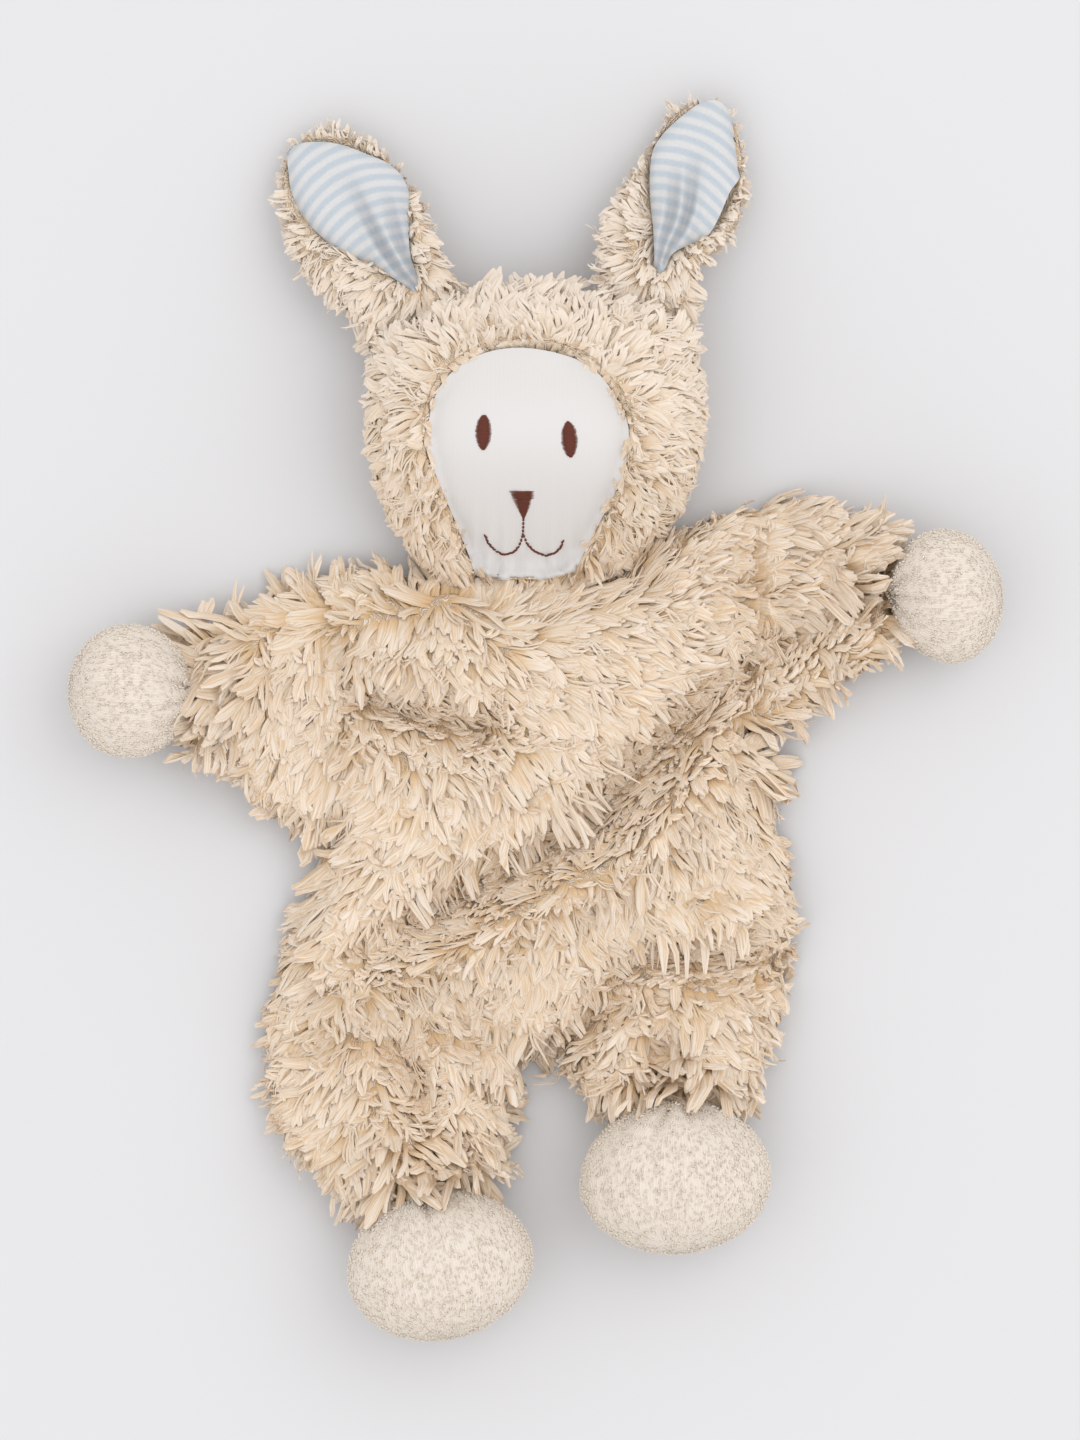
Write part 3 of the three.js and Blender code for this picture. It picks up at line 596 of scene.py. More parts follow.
def collection_of(name, shapes):
    made = bpy.data.collections.new(name)
    for shape in shapes:
        made.objects.link(shape)
    return made


def lock(name, length, width, turn, climb, fall, plump, seed):
    """One lock of pile, lying along X from its root: bundles of fibres side by side that part towards their tips."""
    chance = np.random.default_rng(seed)
    points, strand, faces = [], [], []
    for bundle in (-1, 0, 1):
        bend = turn + 0.12 * bundle + chance.uniform(-0.2, 0.2)
        long = length * chance.uniform(0.8, 1.08) * (1.0 if bundle == 0 else 0.9)
        wave, phase = chance.uniform(0.1, 0.3), chance.uniform(0, math.tau)
        place, reached = np.array((0, 0.3 * bundle * width, 0.02 * width * (bundle == 0))), 0.0
        faces += tube_faces(len(points), len(LOCK_ROWS), len(LOCK_PROFILE))
        for share, full in LOCK_ROWS:
            while reached < share - LOCK_STEP / 2:
                heading = bend * reached + wave * math.sin(5 * reached + phase)
                slope = climb - fall * reached
                place = place + long * LOCK_STEP * np.array((
                    math.cos(heading) * math.cos(slope), math.sin(heading) * math.cos(slope), math.sin(slope)))
                reached += LOCK_STEP
            across = np.array((-math.sin(bend * share), math.cos(bend * share), 0))
            for side, lift in LOCK_PROFILE:
                lift = width * plump * full * (lift + 0.4 * (bundle == 0))
                points.append(place + across * side * 0.27 * width * full + np.array((0, 0, lift)))
                strand.append((0.6 * bundle + 0.38 * side, share, lift))
    made = template(name, points, faces)
    set_values(made.data, "strand", strand, "FLOAT_VECTOR")
    return made


def lock_collection(length, width):
    return collection_of("pile_locks", [lock(f"lock_{i:02d}", length * long, width * wide, *bends, i)
                                        for i, (long, wide, *bends) in enumerate(LOCKS)])


def terry_loop(name, span, height, thread):
    """One loop of terry: a thread that leaves the cloth and goes back into it."""
    points, rows = [], 4
    for i in range(rows):
        angle = math.pi * (0.05 + 0.9 * i / (rows - 1))
        x, z = -span / 2 * math.cos(angle), height * math.sin(angle) - 0.15 * height
        out = np.array((-math.cos(angle), 0, math.sin(angle)))
        for side, lift in LOOP_PROFILE:
            points.append(np.array((x, side * thread, z)) + out * lift * thread)
    made = template(name, points, tube_faces(0, rows, len(LOOP_PROFILE)))
    smooth_shade(made)
    return made


def loop_collection(span, height, thread):
    return collection_of("terry_loops", [terry_loop(f"terry_loop_{i}", span * long, height * tall, thread)
                                         for i, (long, tall) in enumerate(LOOPS)])


def new_tree(name, sockets):
    """A Geometry Nodes group that takes geometry and these sockets, and what it is given."""
    tree = bpy.data.node_groups.new(name, "GeometryNodeTree")
    for socket, kind in {"Geometry": "Geometry", **sockets, "Finish": "Material"}.items():
        tree.interface.new_socket(socket, in_out="INPUT", socket_type=f"NodeSocket{kind}")
    tree.interface.new_socket("Geometry", in_out="OUTPUT", socket_type="NodeSocketGeometry")
    return tree, add(tree, "NodeGroupInput").outputs


def ended_tree(tree, placed, given):
    """Ends a group: what it has placed becomes one mesh with its material."""
    real = add(tree, "GeometryNodeRealizeInstances", {"Geometry": placed}).outputs[0]
    dressed = add(tree, "GeometryNodeSetMaterial", {"Geometry": real, "Material": given["Finish"]}).outputs[0]
    add(tree, "NodeGroupOutput", {"Geometry": dressed})
    return tree


def grown(made, name, tree, values):
    """Turns the object into what the group makes of it with these values."""
    modifier = made.modifiers.new(name, "NODES")
    modifier.node_group = tree
    for item in tree.interface.items_tree:
        if item.in_out == "INPUT" and item.name in values:
            modifier[item.identifier] = values[item.name]
    plain_mesh(made)


def drawn(tree, kind, low, high, seed):
    """A random value between these limits for each point."""
    node = add(tree, "FunctionNodeRandomValue", {"Min": low, "Max": high, "Seed": seed}, data_type=kind)
    return node.outputs["Value"]


def turned_along(tree, along, up):
    return add(tree, "FunctionNodeAxesToRotation", {"Primary Axis": along, "Secondary Axis": up},
               primary_axis="X", secondary_axis="Z").outputs[0]


def pile_tree(name, shapes, long_ones, all_ones):
    """Geometry Nodes that plant locks or loops all over a cloth, along the direction stored on it."""
    tree, given = new_tree(name, {"Spacing": "Float", "Scatter": "Float", "Seed": "Int"})
    planted = add(tree, "GeometryNodeDistributePointsOnFaces", {
        "Mesh": given["Geometry"], "Distance Min": given["Spacing"], "Density Max": ROOTS_TRIED,
        "Seed": given["Seed"]}, distribute_method="POISSON").outputs

    stray = drawn(tree, "FLOAT_VECTOR", (-1, -1, -1), (1, 1, 1), 3)
    stray = add(tree, "ShaderNodeVectorMath", {0: stray, "Scale": given["Scatter"]}, operation="SCALE").outputs[0]
    comb = attribute(tree, "comb", "FLOAT_VECTOR")
    along = add(tree, "ShaderNodeVectorMath", {0: comb, 1: stray}, operation="ADD").outputs[0]
    roll = drawn(tree, "FLOAT_VECTOR", (-0.1, -0.05, -0.1), (0.1, 0.05, 0.1), 5)
    roll = add(tree, "FunctionNodeEulerToRotation", {0: roll}).outputs[0]
    turned = add(tree, "FunctionNodeRotateRotation", {0: turned_along(tree, along, planted["Normal"]), 1: roll},
                 rotation_space="LOCAL").outputs[0]

    # The cloth stores the share of short curls, and the length of its pile.
    curled = add(tree, "FunctionNodeCompare", {
        0: drawn(tree, "FLOAT", 0.0, 1.0, 7), 1: attribute(tree, "curl", "FLOAT")},
        data_type="FLOAT", operation="LESS_THAN").outputs[0]
    which = add(tree, "GeometryNodeSwitch", {
        "Switch": curled, "False": drawn(tree, "INT", 0, long_ones - 1, 9),
        "True": drawn(tree, "INT", long_ones, all_ones - 1, 11)}, input_type="INT").outputs[0]
    size = maths(tree, "MULTIPLY", drawn(tree, "FLOAT", 0.78, 1.25, 13), attribute(tree, "pile_length", "FLOAT"))
    locks = add(tree, "GeometryNodeCollectionInfo", {
        "Collection": shapes, "Separate Children": True, "Reset Children": True}).outputs[0]
    placed = add(tree, "GeometryNodeInstanceOnPoints", {
        "Points": planted["Points"], "Instance": locks, "Pick Instance": True,
        "Instance Index": which, "Rotation": turned, "Scale": size}).outputs[0]
    placed = add(tree, "GeometryNodeStoreNamedAttribute", {
        "Geometry": placed, "Name": "lock_tone", "Value": drawn(tree, "FLOAT", 0.0, 1.0, 15)},
        data_type="FLOAT", domain="INSTANCE").outputs[0]
    return ended_tree(tree, placed, given)


def laid_down(made, surface):
    """Lays each lock along the cloth under it: its root is on the cloth, and its tip on the locks before it."""
    count = len(made.data.vertices)
    strand, tone = np.empty(count * 3), np.empty(count)
    made.data.attributes["strand"].data.foreach_get("vector", strand)
    made.data.attributes["lock_tone"].data.foreach_get("value", tone)
    strand = strand.reshape(-1, 3)
    points = coordinates(made.data)
    nearest = [surface.find_nearest(Vector(p)) for p in points]
    facing = np.array([found[1] for found in nearest])
    above = ((points - np.array([found[0] for found in nearest])) * facing).sum(axis=1)
    wanted = RISE * (0.6 + 0.8 * tone) * strand[:, 1] + strand[:, 2]
    hold = 0.35 + 0.5 * np.clip((np.abs(facing[:, 2]) - 0.3) / 0.4, 0, 1)
    hold *= 1 - 0.9 * near_neck(points)
    set_points(made.data, points + facing * np.clip(hold * (wanted - above), -MOST_LAID, MOST_LAID)[:, None])


def plant(name, cloth, tree, finish, spacing, seed, keep=None, scatter=0.08, lies_on=None):
    """Grows the pile of one cloth, or of the part of it that is kept, as a piece of its own."""
    if keep:
        made = part_of(cloth, keep, name)
    else:
        made = bpy.data.objects.new(name, cloth.data.copy())
        bpy.context.scene.collection.objects.link(made)
    grown(made, "Pile", tree, {"Spacing": spacing, "Seed": seed, "Finish": finish, "Scatter": scatter})
    if "strand" in made.data.attributes:
        laid_down(made, surface_of(lies_on or cloth))
    # The bunny lies on its back, so the pile there is pressed flat on the floor.
    points = coordinates(made.data)
    room = PRESSED - FLOOR_GAP
    pressed = FLOOR_GAP + room * np.exp((points[:, 2] - PRESSED) / room)
    points[:, 2] = np.where(points[:, 2] < PRESSED, pressed, points[:, 2])
    set_points(made.data, points)
    return made


def cotton_pile(light, middle, root):
    """Curly cotton pile: soft, dull bundles of fine fibres, pale at the tips, with warm painted shade towards the
    roots and in the gaps between.
    """
    material, tree = new_material("combed_cotton_pile")
    tone = stored(tree, "lock_tone", "Fac")
    across, along, _ = split(tree, stored(tree, "strand"))
    # Fibres run the whole length of a lock, about 0.4 mm apart.
    fibre = add(tree, "ShaderNodeCombineXYZ", {
        0: maths(tree, "MULTIPLY", across, 7.5), 1: along, 2: maths(tree, "MULTIPLY", tone, 71.0)}).outputs[0]
    streaks = grain(tree, fibre, 1.0, 1.5)
    # Each lock is painted darker towards its root: painted shade from the locks that lie over it.
    root_shade_ramp = add(tree, "ShaderNodeValToRGB", {"Fac": along})
    stops = root_shade_ramp.color_ramp.elements
    stops[0].position, stops[0].color = 0.05, linear(root)
    stops[1].position, stops[1].color = 0.85, linear(light)
    stops.new(0.4).color = linear(middle)
    # Between the fibres, and at the edges of a bundle, the warm root colour is mixed in as painted shade.
    fibre_gap_shade = mapped(tree, streaks, (0.0, 0.8), (0.58, 0.36))
    edge = mapped(tree, maths(tree, "ABSOLUTE", across), (0.0, 0.3), (0.86, 1.0))
    colour = mixed(tree, maths(tree, "MAXIMUM", fibre_gap_shade, edge), root_shade_ramp.outputs["Color"], linear(root))
    colour = shaded(tree, colour, mapped(tree, tone, (0.95, 1.03)))
    # The pile is mixed paler further up the frame, over the head and the ears.
    _, upward, _ = split(tree, position(tree))
    colour = mixed(tree, mapped(tree, upward, (0.0, 0.6), (0.04, 0.16)), colour, linear(PALER_HIGHER))
    return surfaced(material, colour, roughness=0.85, specular=0.05, height=streaks, depth=0.12, strength=0.5)


def backing_cloth(light, root):
    """Knitted ground of the pile, with the short fibres that stand on it: a soft, streaky cream between the locks."""
    material, tree = new_material("knitted_cotton_ground")
    place = position(tree)
    bent = grain(tree, place, 160.0, 1.0, "Color")
    bent = add(tree, "ShaderNodeMix", {"Factor": 0.012, 4: place, 5: bent}, data_type="VECTOR").outputs[1]
    fibres = add(tree, "ShaderNodeTexWave", {"Vector": bent, "Scale": 420.0, "Distortion": 6.0, "Detail": 2.0,
                                             "Detail Scale": 1.5}, bands_direction="DIAGONAL").outputs["Fac"]
    colour = mixed(tree, fibres, linear(root), linear(light))
    return surfaced(material, colour, roughness=0.9, specular=0.05, height=fibres, depth=0.3)


def terry(colour):
    """Cotton terry: short loops stand in close wales, so it is soft and dull, with a fine ribbed grain."""
    material, tree = new_material("looped_cotton_terry")
    wales = stored(tree, "wales")
    loops = grain(tree, wales, 1.0, Distortion=0.4)
    across = maths(tree, "MULTIPLY", split(tree, wales)[0], math.tau)
    ribs = maths(tree, "SINE", maths(tree, "ADD", across, mapped(tree, loops, (-1.6, 1.6))))
    height = halfway(tree, mapped(tree, ribs, source=(-1.0, 1.0)), loops)
    toned = shaded(tree, linear(colour), mapped(tree, height, (0.95, 1.03), (0.2, 0.8)))
    return surfaced(material, toned, roughness=0.9, specular=0.1, height=height, depth=0.5, strength=0.7)


def jersey(colour):
    """Fine cotton jersey: smooth and matt, with faint upright wales 1.2 mm apart."""
    material, tree = new_material("fine_cotton_jersey")
    place = position(tree)
    wales = add(tree, "ShaderNodeTexWave", {"Vector": place, "Scale": 260.0, "Distortion": 1.5, "Detail": 2.0,
                                            "Detail Scale": 2.0}, bands_direction="X").outputs["Fac"]
    height = halfway(tree, wales, grain(tree, place, 1400.0))
    toned = shaded(tree, linear(colour), mapped(tree, height, (0.99, 1.005)))
    return surfaced(material, toned, roughness=0.85, specular=0.15, height=height, depth=0.1, strength=0.2)


def striped_jersey(blue, white, period):
    """Yarn-dyed jersey: soft blue and white stripes run across the ear, a little uneven where the knit is pulled."""
    material, tree = new_material("yarn_dyed_striped_jersey")
    leaf = stored(tree, "leaf")
    knit = grain(tree, leaf, 1100.0)
    pulled = mapped(tree, grain(tree, leaf, 90.0, 1.0), (-1.0, 1.0))
    across = maths(tree, "MULTIPLY", split(tree, leaf)[1], math.tau / period)
    wave = maths(tree, "SINE", maths(tree, "ADD", across, pulled))
    band = mapped(tree, wave, source=(-0.9, 0.9), interpolation_type="SMOOTHSTEP")
    # Down in a crease the cloth is shaded by its own fold.
    crease = maths(tree, "MULTIPLY", stored(tree, "crease", "Fac"), 0.55)
    striped = mixed(tree, crease, mixed(tree, band, linear(white), linear(blue)), linear(CREASE))
    toned = shaded(tree, striped, mapped(tree, knit, (0.92, 1.06)))
    return surfaced(material, toned, roughness=0.85, specular=0.15, height=knit, depth=0.2, strength=0.5)


def embroidery_thread(colour):
    """Rayon embroidery thread: it lies in glossy parallel stitches that catch the light along their length."""
    material, tree = new_material("rayon_embroidery_thread")
    ply = grain(tree, position(tree), 1800.0)
    toned = shaded(tree, linear(colour), mapped(tree, ply, (0.75, 1.25)))
    return surfaced(material, toned, roughness=0.5, specular=0.35, height=ply, depth=0.08, strength=0.5)


def white_card(colour):
    """Matt white studio paper: even, with no grain that shows."""
    material, tree = new_material("matt_studio_paper")
    toned = shaded(tree, linear(colour), mapped(tree, grain(tree, position(tree), 3.0), (0.985, 1.015)))
    return surfaced(material, toned, roughness=0.9, specular=0.1)


def stitch_tree():
    """Geometry Nodes that lay one stitch at each point, as long and turned as the point says."""
    tree, given = new_tree("Laid stitches", {"Thread": "Object", "Thickness": "Float"})
    turned = turned_along(tree, attribute(tree, "way", "FLOAT_VECTOR"), attribute(tree, "up", "FLOAT_VECTOR"))
    size = add(tree, "ShaderNodeCombineXYZ", {
        0: attribute(tree, "span", "FLOAT"), 1: given["Thickness"], 2: given["Thickness"]}).outputs[0]
    thread = add(tree, "GeometryNodeObjectInfo", {"Object": given["Thread"], "As Instance": True}).outputs["Geometry"]
    laid = add(tree, "GeometryNodeInstanceOnPoints", {
        "Points": given["Geometry"], "Instance": thread, "Rotation": turned, "Scale": size}).outputs[0]
    return ended_tree(tree, laid, given)


def unit_stitch():
    """One stitch, a metre long and a metre thick: it dips into the cloth at both ends."""
    rows, sides = 5, 6
    points = []
    for i in range(rows):
        share = i / (rows - 1)
        arch = math.sin(math.pi * share)
        radius = 0.5 * (0.35 + 0.65 * arch ** 0.5)
        for k in range(sides):
            angle = k / sides * math.tau
            points.append((share - 0.5, radius * math.cos(angle), radius * math.sin(angle) + 0.45 * arch - 0.3))
    made = template("unit_stitch", points, tube_faces(0, rows, sides))
    smooth_shade(made)
    return made


def stitched(name, stitches, surface, tree, thread, thickness, finish):
    """Lays stitches on a surface. Each is its middle and its two ends' difference, in metres in the plane."""
    places, ways, ups, spans = [], [], [], []
    for (x, y), (dx, dy) in stitches:
        hit, normal, _, _ = surface.ray_cast(Vector((x, y, HIGH)), DOWN)
        along = Vector((dx, dy, 0))
        along -= normal * along.dot(normal)
        places.append(hit + normal * STITCH_RISE)
        ways.append(along.normalized())
        ups.append(normal)
        spans.append(along.length)
    made = mesh_object(name, places, [])
    set_values(made.data, "way", ways, "FLOAT_VECTOR")
    set_values(made.data, "up", ups, "FLOAT_VECTOR")
    set_values(made.data, "span", spans)
    grown(made, "Stitches", tree, {"Thread": thread, "Thickness": thickness, "Finish": finish})
    smooth_shade(made)
    return made


def along_line(points, pitch):
    """Middles and differences of the stitches of one line, a pitch apart. Each overlaps the next."""
    line = np.array(points)
    steps = np.linalg.norm(np.diff(line, axis=0), axis=1)
    reach = np.concatenate([[0], np.cumsum(steps)])
    count = max(1, round(reach[-1] / pitch))
    marks = np.linspace(0, reach[-1], count + 1)
    at = np.stack([np.interp(marks, reach, line[:, k]) for k in range(2)], axis=1)
    return [((a + b) / 2, (b - a) * STITCH_OVERLAP) for a, b in zip(at, at[1:])]


def swell(made, pinned):
    """Lets the cloth of the piece fill out from within, all but its pinned points."""
    before = coordinates(made.data)
    group = made.vertex_groups.new(name="gathered")
    group.add([int(i) for i in np.flatnonzero(pinned)], 1.0, "REPLACE")
    cloth = made.modifiers.new("Stuffing", "CLOTH")
    cloth.settings.use_pressure = True
    cloth.settings.uniform_pressure_force = PRESSURE
    cloth.settings.vertex_group_mass = group.name
    cloth.settings.effector_weights.gravity = 0.0
    cloth.settings.quality = 6
    cloth.settings.mass = 0.15
    scene = bpy.context.scene
    for step in range(1, SWELL_STEPS + 1):
        scene.frame_set(step)
    plain_mesh(made)
    scene.frame_set(1)
    moved = coordinates(made.data) - before
    far = np.linalg.norm(moved, axis=1)[:, None]
    set_points(made.data, before + moved * np.minimum(1, MOST_SWELL / np.maximum(far, 1e-9)))
    made.vertex_groups.clear()
    return made


def part_of(made, keep, name):
    """A copy of the object with only the faces whose centres are kept."""
    shape = bmesh.new()
    shape.from_mesh(made.data)
    shape.faces.ensure_lookup_table()
    centres = np.array([f.calc_center_median() for f in shape.faces])
    facing = np.array([f.normal for f in shape.faces])
    wanted = keep(centres, facing)
    bmesh.ops.delete(shape, geom=[f for f, w in zip(shape.faces, wanted) if not w], context="FACES")
    mesh = bpy.data.meshes.new(name)
    shape.to_mesh(mesh)
    shape.free()
    for material in made.data.materials:
        mesh.materials.append(material)
    part = bpy.data.objects.new(name, mesh)
    bpy.context.scene.collection.objects.link(part)
    return part


def limb_of(centres):
    """Which limb each point lies in, or the torso."""
    found = np.full(len(centres), "torso", dtype="U12")
    for limb, (fold, outward, half) in LIMBS.items():
        offset = centres[:, :2] / MM - fold
        beyond = offset @ np.array(outward) > -FOLD_BEFORE
        within = np.abs(offset @ np.array((-outward[1], outward[0]))) < half
        found[beyond & within] = limb
    return found


def above_valley(centres):
    """Which points lie above the valley that runs across the body, so on the chest."""
    line = np.array(sorted(spots(VALLEYS[0])))
    return centres[:, 1] > np.interp(centres[:, 0], line[:, 0], line[:, 1])


def tint(name, description, value):
    """A setting for an sRGB hex colour."""
    return bpy.props.StringProperty(name=name, description="sRGB hex colour of the " + description, default=value)


def measure(name, description, millimetres):
    """A setting for a length."""
    return bpy.props.FloatProperty(name=name, description=description, default=millimetres * MM, unit="LENGTH")


class PileSettings(bpy.types.PropertyGroup):
    lock_length: measure("Lock length", "Length of one lock of the pile", 13.5)
    lock_width: measure("Lock width", "Width of one lock, without its outermost fibres", 3.6)
    spacing: measure("Spacing", "Least distance between the roots of two locks", 2.05)
    light: tint("Tips", "tips", "#E8DCCE")
    middle: tint("Middles", "middles", "#E3D3BF")
    # On the pile the roots' colour is painted shade: it is painted towards each lock's root, between its fibres and
    # at its edges.
    root: tint("Roots", "roots", "#D3B389")


class FaceSettings(bpy.types.PropertyGroup):
    jersey: tint("Jersey", "face", "#DAD8D6")
    thread: tint("Thread", "stitches", "#653020")
    thread_width: measure("Thread width", "Width of one stitch", 0.5)


class EarSettings(bpy.types.PropertyGroup):
    blue: tint("Blue", "blue stripes", "#BBC4CB")
    white: tint("White", "white stripes", "#D3D3D3")
    stripe: measure("Stripe", "Width of a blue and a white stripe together", 3.9)


class TerrySettings(bpy.types.PropertyGroup):
    colour: tint("Terry", "loops", "#EAE0D3")
    loop_spacing: measure("Loop spacing", "Least distance between two loops", 0.74)


class StageSettings(bpy.types.PropertyGroup):
    floor: tint("Floor", "floor", "#D9D9DA")
    strength: bpy.props.FloatProperty(name="Light", description="Factor on the large soft lights", default=1.0)


class BUNNY_OT_stage(bpy.types.Operator):
    """Makes the floor, the soft lights and the camera straight above"""
    bl_idname = "bunny.stage"
    bl_label = "Stage"

    def execute(self, context):
        settings = context.scene.bunny_stage
        corners = [(x * FLOOR_SIDE, y * FLOOR_SIDE, -FLOOR_GAP) for x, y in ((-1, -1), (1, -1), (1, 1), (-1, 1))]
        floor = mesh_object("floor", corners, [(0, 1, 2, 3)])
        floor.data.materials.append(white_card(settings.floor))
        for name, (place, power) in LIGHTS.items():
            lamp = bpy.data.lights.new(name, "AREA")
            lamp.size = LIGHT_SIZE
            lamp.energy = power * settings.strength
            made = bpy.data.objects.new(name, lamp)
            made.location = place
            made.rotation_mode = "QUATERNION"
            made.rotation_quaternion = (-Vector(place)).to_track_quat("-Z", "Y")
            context.scene.collection.objects.link(made)
        world = bpy.data.worlds.new("soft_room")
        world.use_nodes = True
        room = world.node_tree.nodes["Background"].inputs
        room["Color"].default_value, room["Strength"].default_value = linear(ROOM_COLOUR), ROOM_STRENGTH
        context.scene.world = world
        lens = bpy.data.cameras.new("camera")
        lens.sensor_width = 36
        lens.lens = 200
        made = bpy.data.objects.new("camera", lens)
        shown = PHOTO_HEIGHT / PIXELS_PER_MM * MM
        made.location = (*spot(*PHOTO_CENTRE), PLANE + shown * lens.lens / lens.sensor_width)
        context.scene.collection.objects.link(made)
        context.scene.camera = made
        context.scene.view_settings.view_transform = "Standard"
        return {"FINISHED"}


class BUNNY_OT_body(bpy.types.Operator):
    """Makes the slack body and its limbs: the cloth and the pile on it"""
    bl_idname = "bunny.body"
    bl_label = "Body and limbs"

    def execute(self, context):
        settings = context.scene.bunny_pile
        finish = cotton_pile(settings.light, settings.middle, settings.root)
        ground = backing_cloth(settings.light, settings.root)
        tree = pile_tree("Planted pile", lock_collection(settings.lock_length, settings.lock_width),
                         LONG_LOCKS, len(LOCKS))
        panels = [f"{part}_{side}" for part in ("body", *LIMBS) for side in ("front", "back")]
        bag = shell("bag", panels, ground, voxel=1.8, passes=6)
        self.slacken(bag)
        cloths = {body: part_of(bag, lambda c, n, body=body: limb_of(c) == body, f"{body}_cloth")
                  for body in ("torso", *LIMBS)}
        torso = cloths["torso"]
        regions = {
            "chest_pile": lambda c, n: (n[:, 2] > BODY_UNDERSIDE) & above_valley(c),
            "belly_pile": lambda c, n: (n[:, 2] > BODY_UNDERSIDE) & ~above_valley(c),
            "back_pile": lambda c, n: n[:, 2] <= BODY_UNDERSIDE,
        }
        for seed, (name, keep) in enumerate(regions.items()):
            spacing = settings.spacing * (BACK_SPACING if name == "back_pile" else 1.0)
            pile = plant(name, torso, tree, finish, spacing, SEEDS["torso"] + seed, keep, lies_on=bag)
            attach(pile, "torso")
        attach(torso, "torso")
        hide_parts("body_front", "body_back")
        for seed, (limb, ((x, y), (dx, dy), _)) in enumerate(LIMBS.items()):
            cloth = cloths[limb]
            pile = plant(f"{limb}_pile", cloth, tree, finish, settings.spacing, SEEDS["limbs"] + seed, lies_on=bag)
            for piece in (cloth, pile):
                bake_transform(piece)
            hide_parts(f"{limb}_front", f"{limb}_back")
        bpy.data.objects.remove(bag)
        return {"FINISHED"}

    @staticmethod
    def slacken(bag):
        """Draws the cloth of the bag in under its pile, and lets it fall into its valleys."""
        points, normal = coordinates(bag.data), normals(bag.data)
        # The pile stands on cloth that lies deeper, but thin at the neck and the wrists, where it is gathered.
        drawn_up = np.minimum(distance_to_lines(points, [NECK_SEAM]), distance_to_places(points, NECKS))
        gathered = np.clip(1.6 - drawn_up / GATHERED_REACH, 0, 1)
        side = 1 - np.abs(normal[:, 2])
        depth = CLOTH_DEPTH + SIDE_DEPTH * side * (1 - near_fringe(points))
        points -= normal * (depth * (1 - gathered) * MM)[:, None]
        valley = distance_to_lines(points, [spots(line) for line in VALLEYS])
        fold = (-VALLEY_DEPTH * np.exp(-(valley / VALLEY_WIDTH) ** 2)
                + BANK_HEIGHT * np.exp(-((valley - BANK_PLACE) / BANK_WIDTH) ** 2))
        points[:, 2] += np.where(normal[:, 2] > 0.2, fold * normal[:, 2] * MM, 0)
        slack = distance_to_places(points, [spot(*CROTCH)])
        points[:, 1] -= SAG * np.exp(-(slack / SAG_WIDTH) ** 2)
        set_points(bag.data, points)
        near = np.clip(1 - valley / VALLEY_REACH, 0, 1)
        lay_pile(bag.data, combed(points, BODY_COMB), lift=0.04 + 0.14 * near, length=1.0, curl=0.1 + 0.85 * near)


class BUNNY_OT_head(bpy.types.Operator):
    """Makes the hood and the back of the head: the cloth and the pile on it"""
    bl_idname = "bunny.head"
    bl_label = "Hood"

    def execute(self, context):
        settings = context.scene.bunny_pile
        head = shell("head_cloth", ["hood_front", "head_back", "face_panel", "head_filling"],
                     bpy.data.materials["knitted_cotton_ground"], voxel=1.8, passes=5, inset=2.2)
        lay_pile(head.data, combed(coordinates(head.data), HOOD_COMB), lift=0.05, length=0.8, curl=0.12)
        seam = closed_curve(spots(FACE_SEAM), OPENING_POINTS)
        middle, low = seam.mean(axis=0), seam[:, 1].min()
        # The pile starts under the panel's edge at the top, and leaves the cheeks and the chin clear.
        clear = 0.95 + 0.08 * np.clip((middle[1] + 10 * MM - seam[:, 1]) / (25 * MM), 0, 1)
        opening = middle + (seam - middle) * clear[:, None]

        def under_chin(centres):
            """Below the panel the hood has only its seam, without pile."""
            return (np.abs(centres[:, 0] - middle[0]) < 22 * MM) & (centres[:, 1] < low + 5 * MM)

        regions = {
            "hood_pile": (HOOD_SPACING, lambda c, n: (n[:, 2] > HEAD_UNDERSIDE) & ~under_chin(c)
                          & ~(inside(c, opening) & (n[:, 2] > 0))),
            "head_back_pile": (BACK_SPACING, lambda c, n: n[:, 2] <= HEAD_UNDERSIDE),
        }
        for seed, (name, (wider, keep)) in enumerate(regions.items()):
            pile = plant(name, head, bpy.data.node_groups["Planted pile"], bpy.data.materials["combed_cotton_pile"],
                         settings.spacing * wider, SEEDS["head"] + seed, keep)
            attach(pile, "head")
        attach(head, "head")
        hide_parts("hood_front", "head_back", "head_filling")
        return {"FINISHED"}


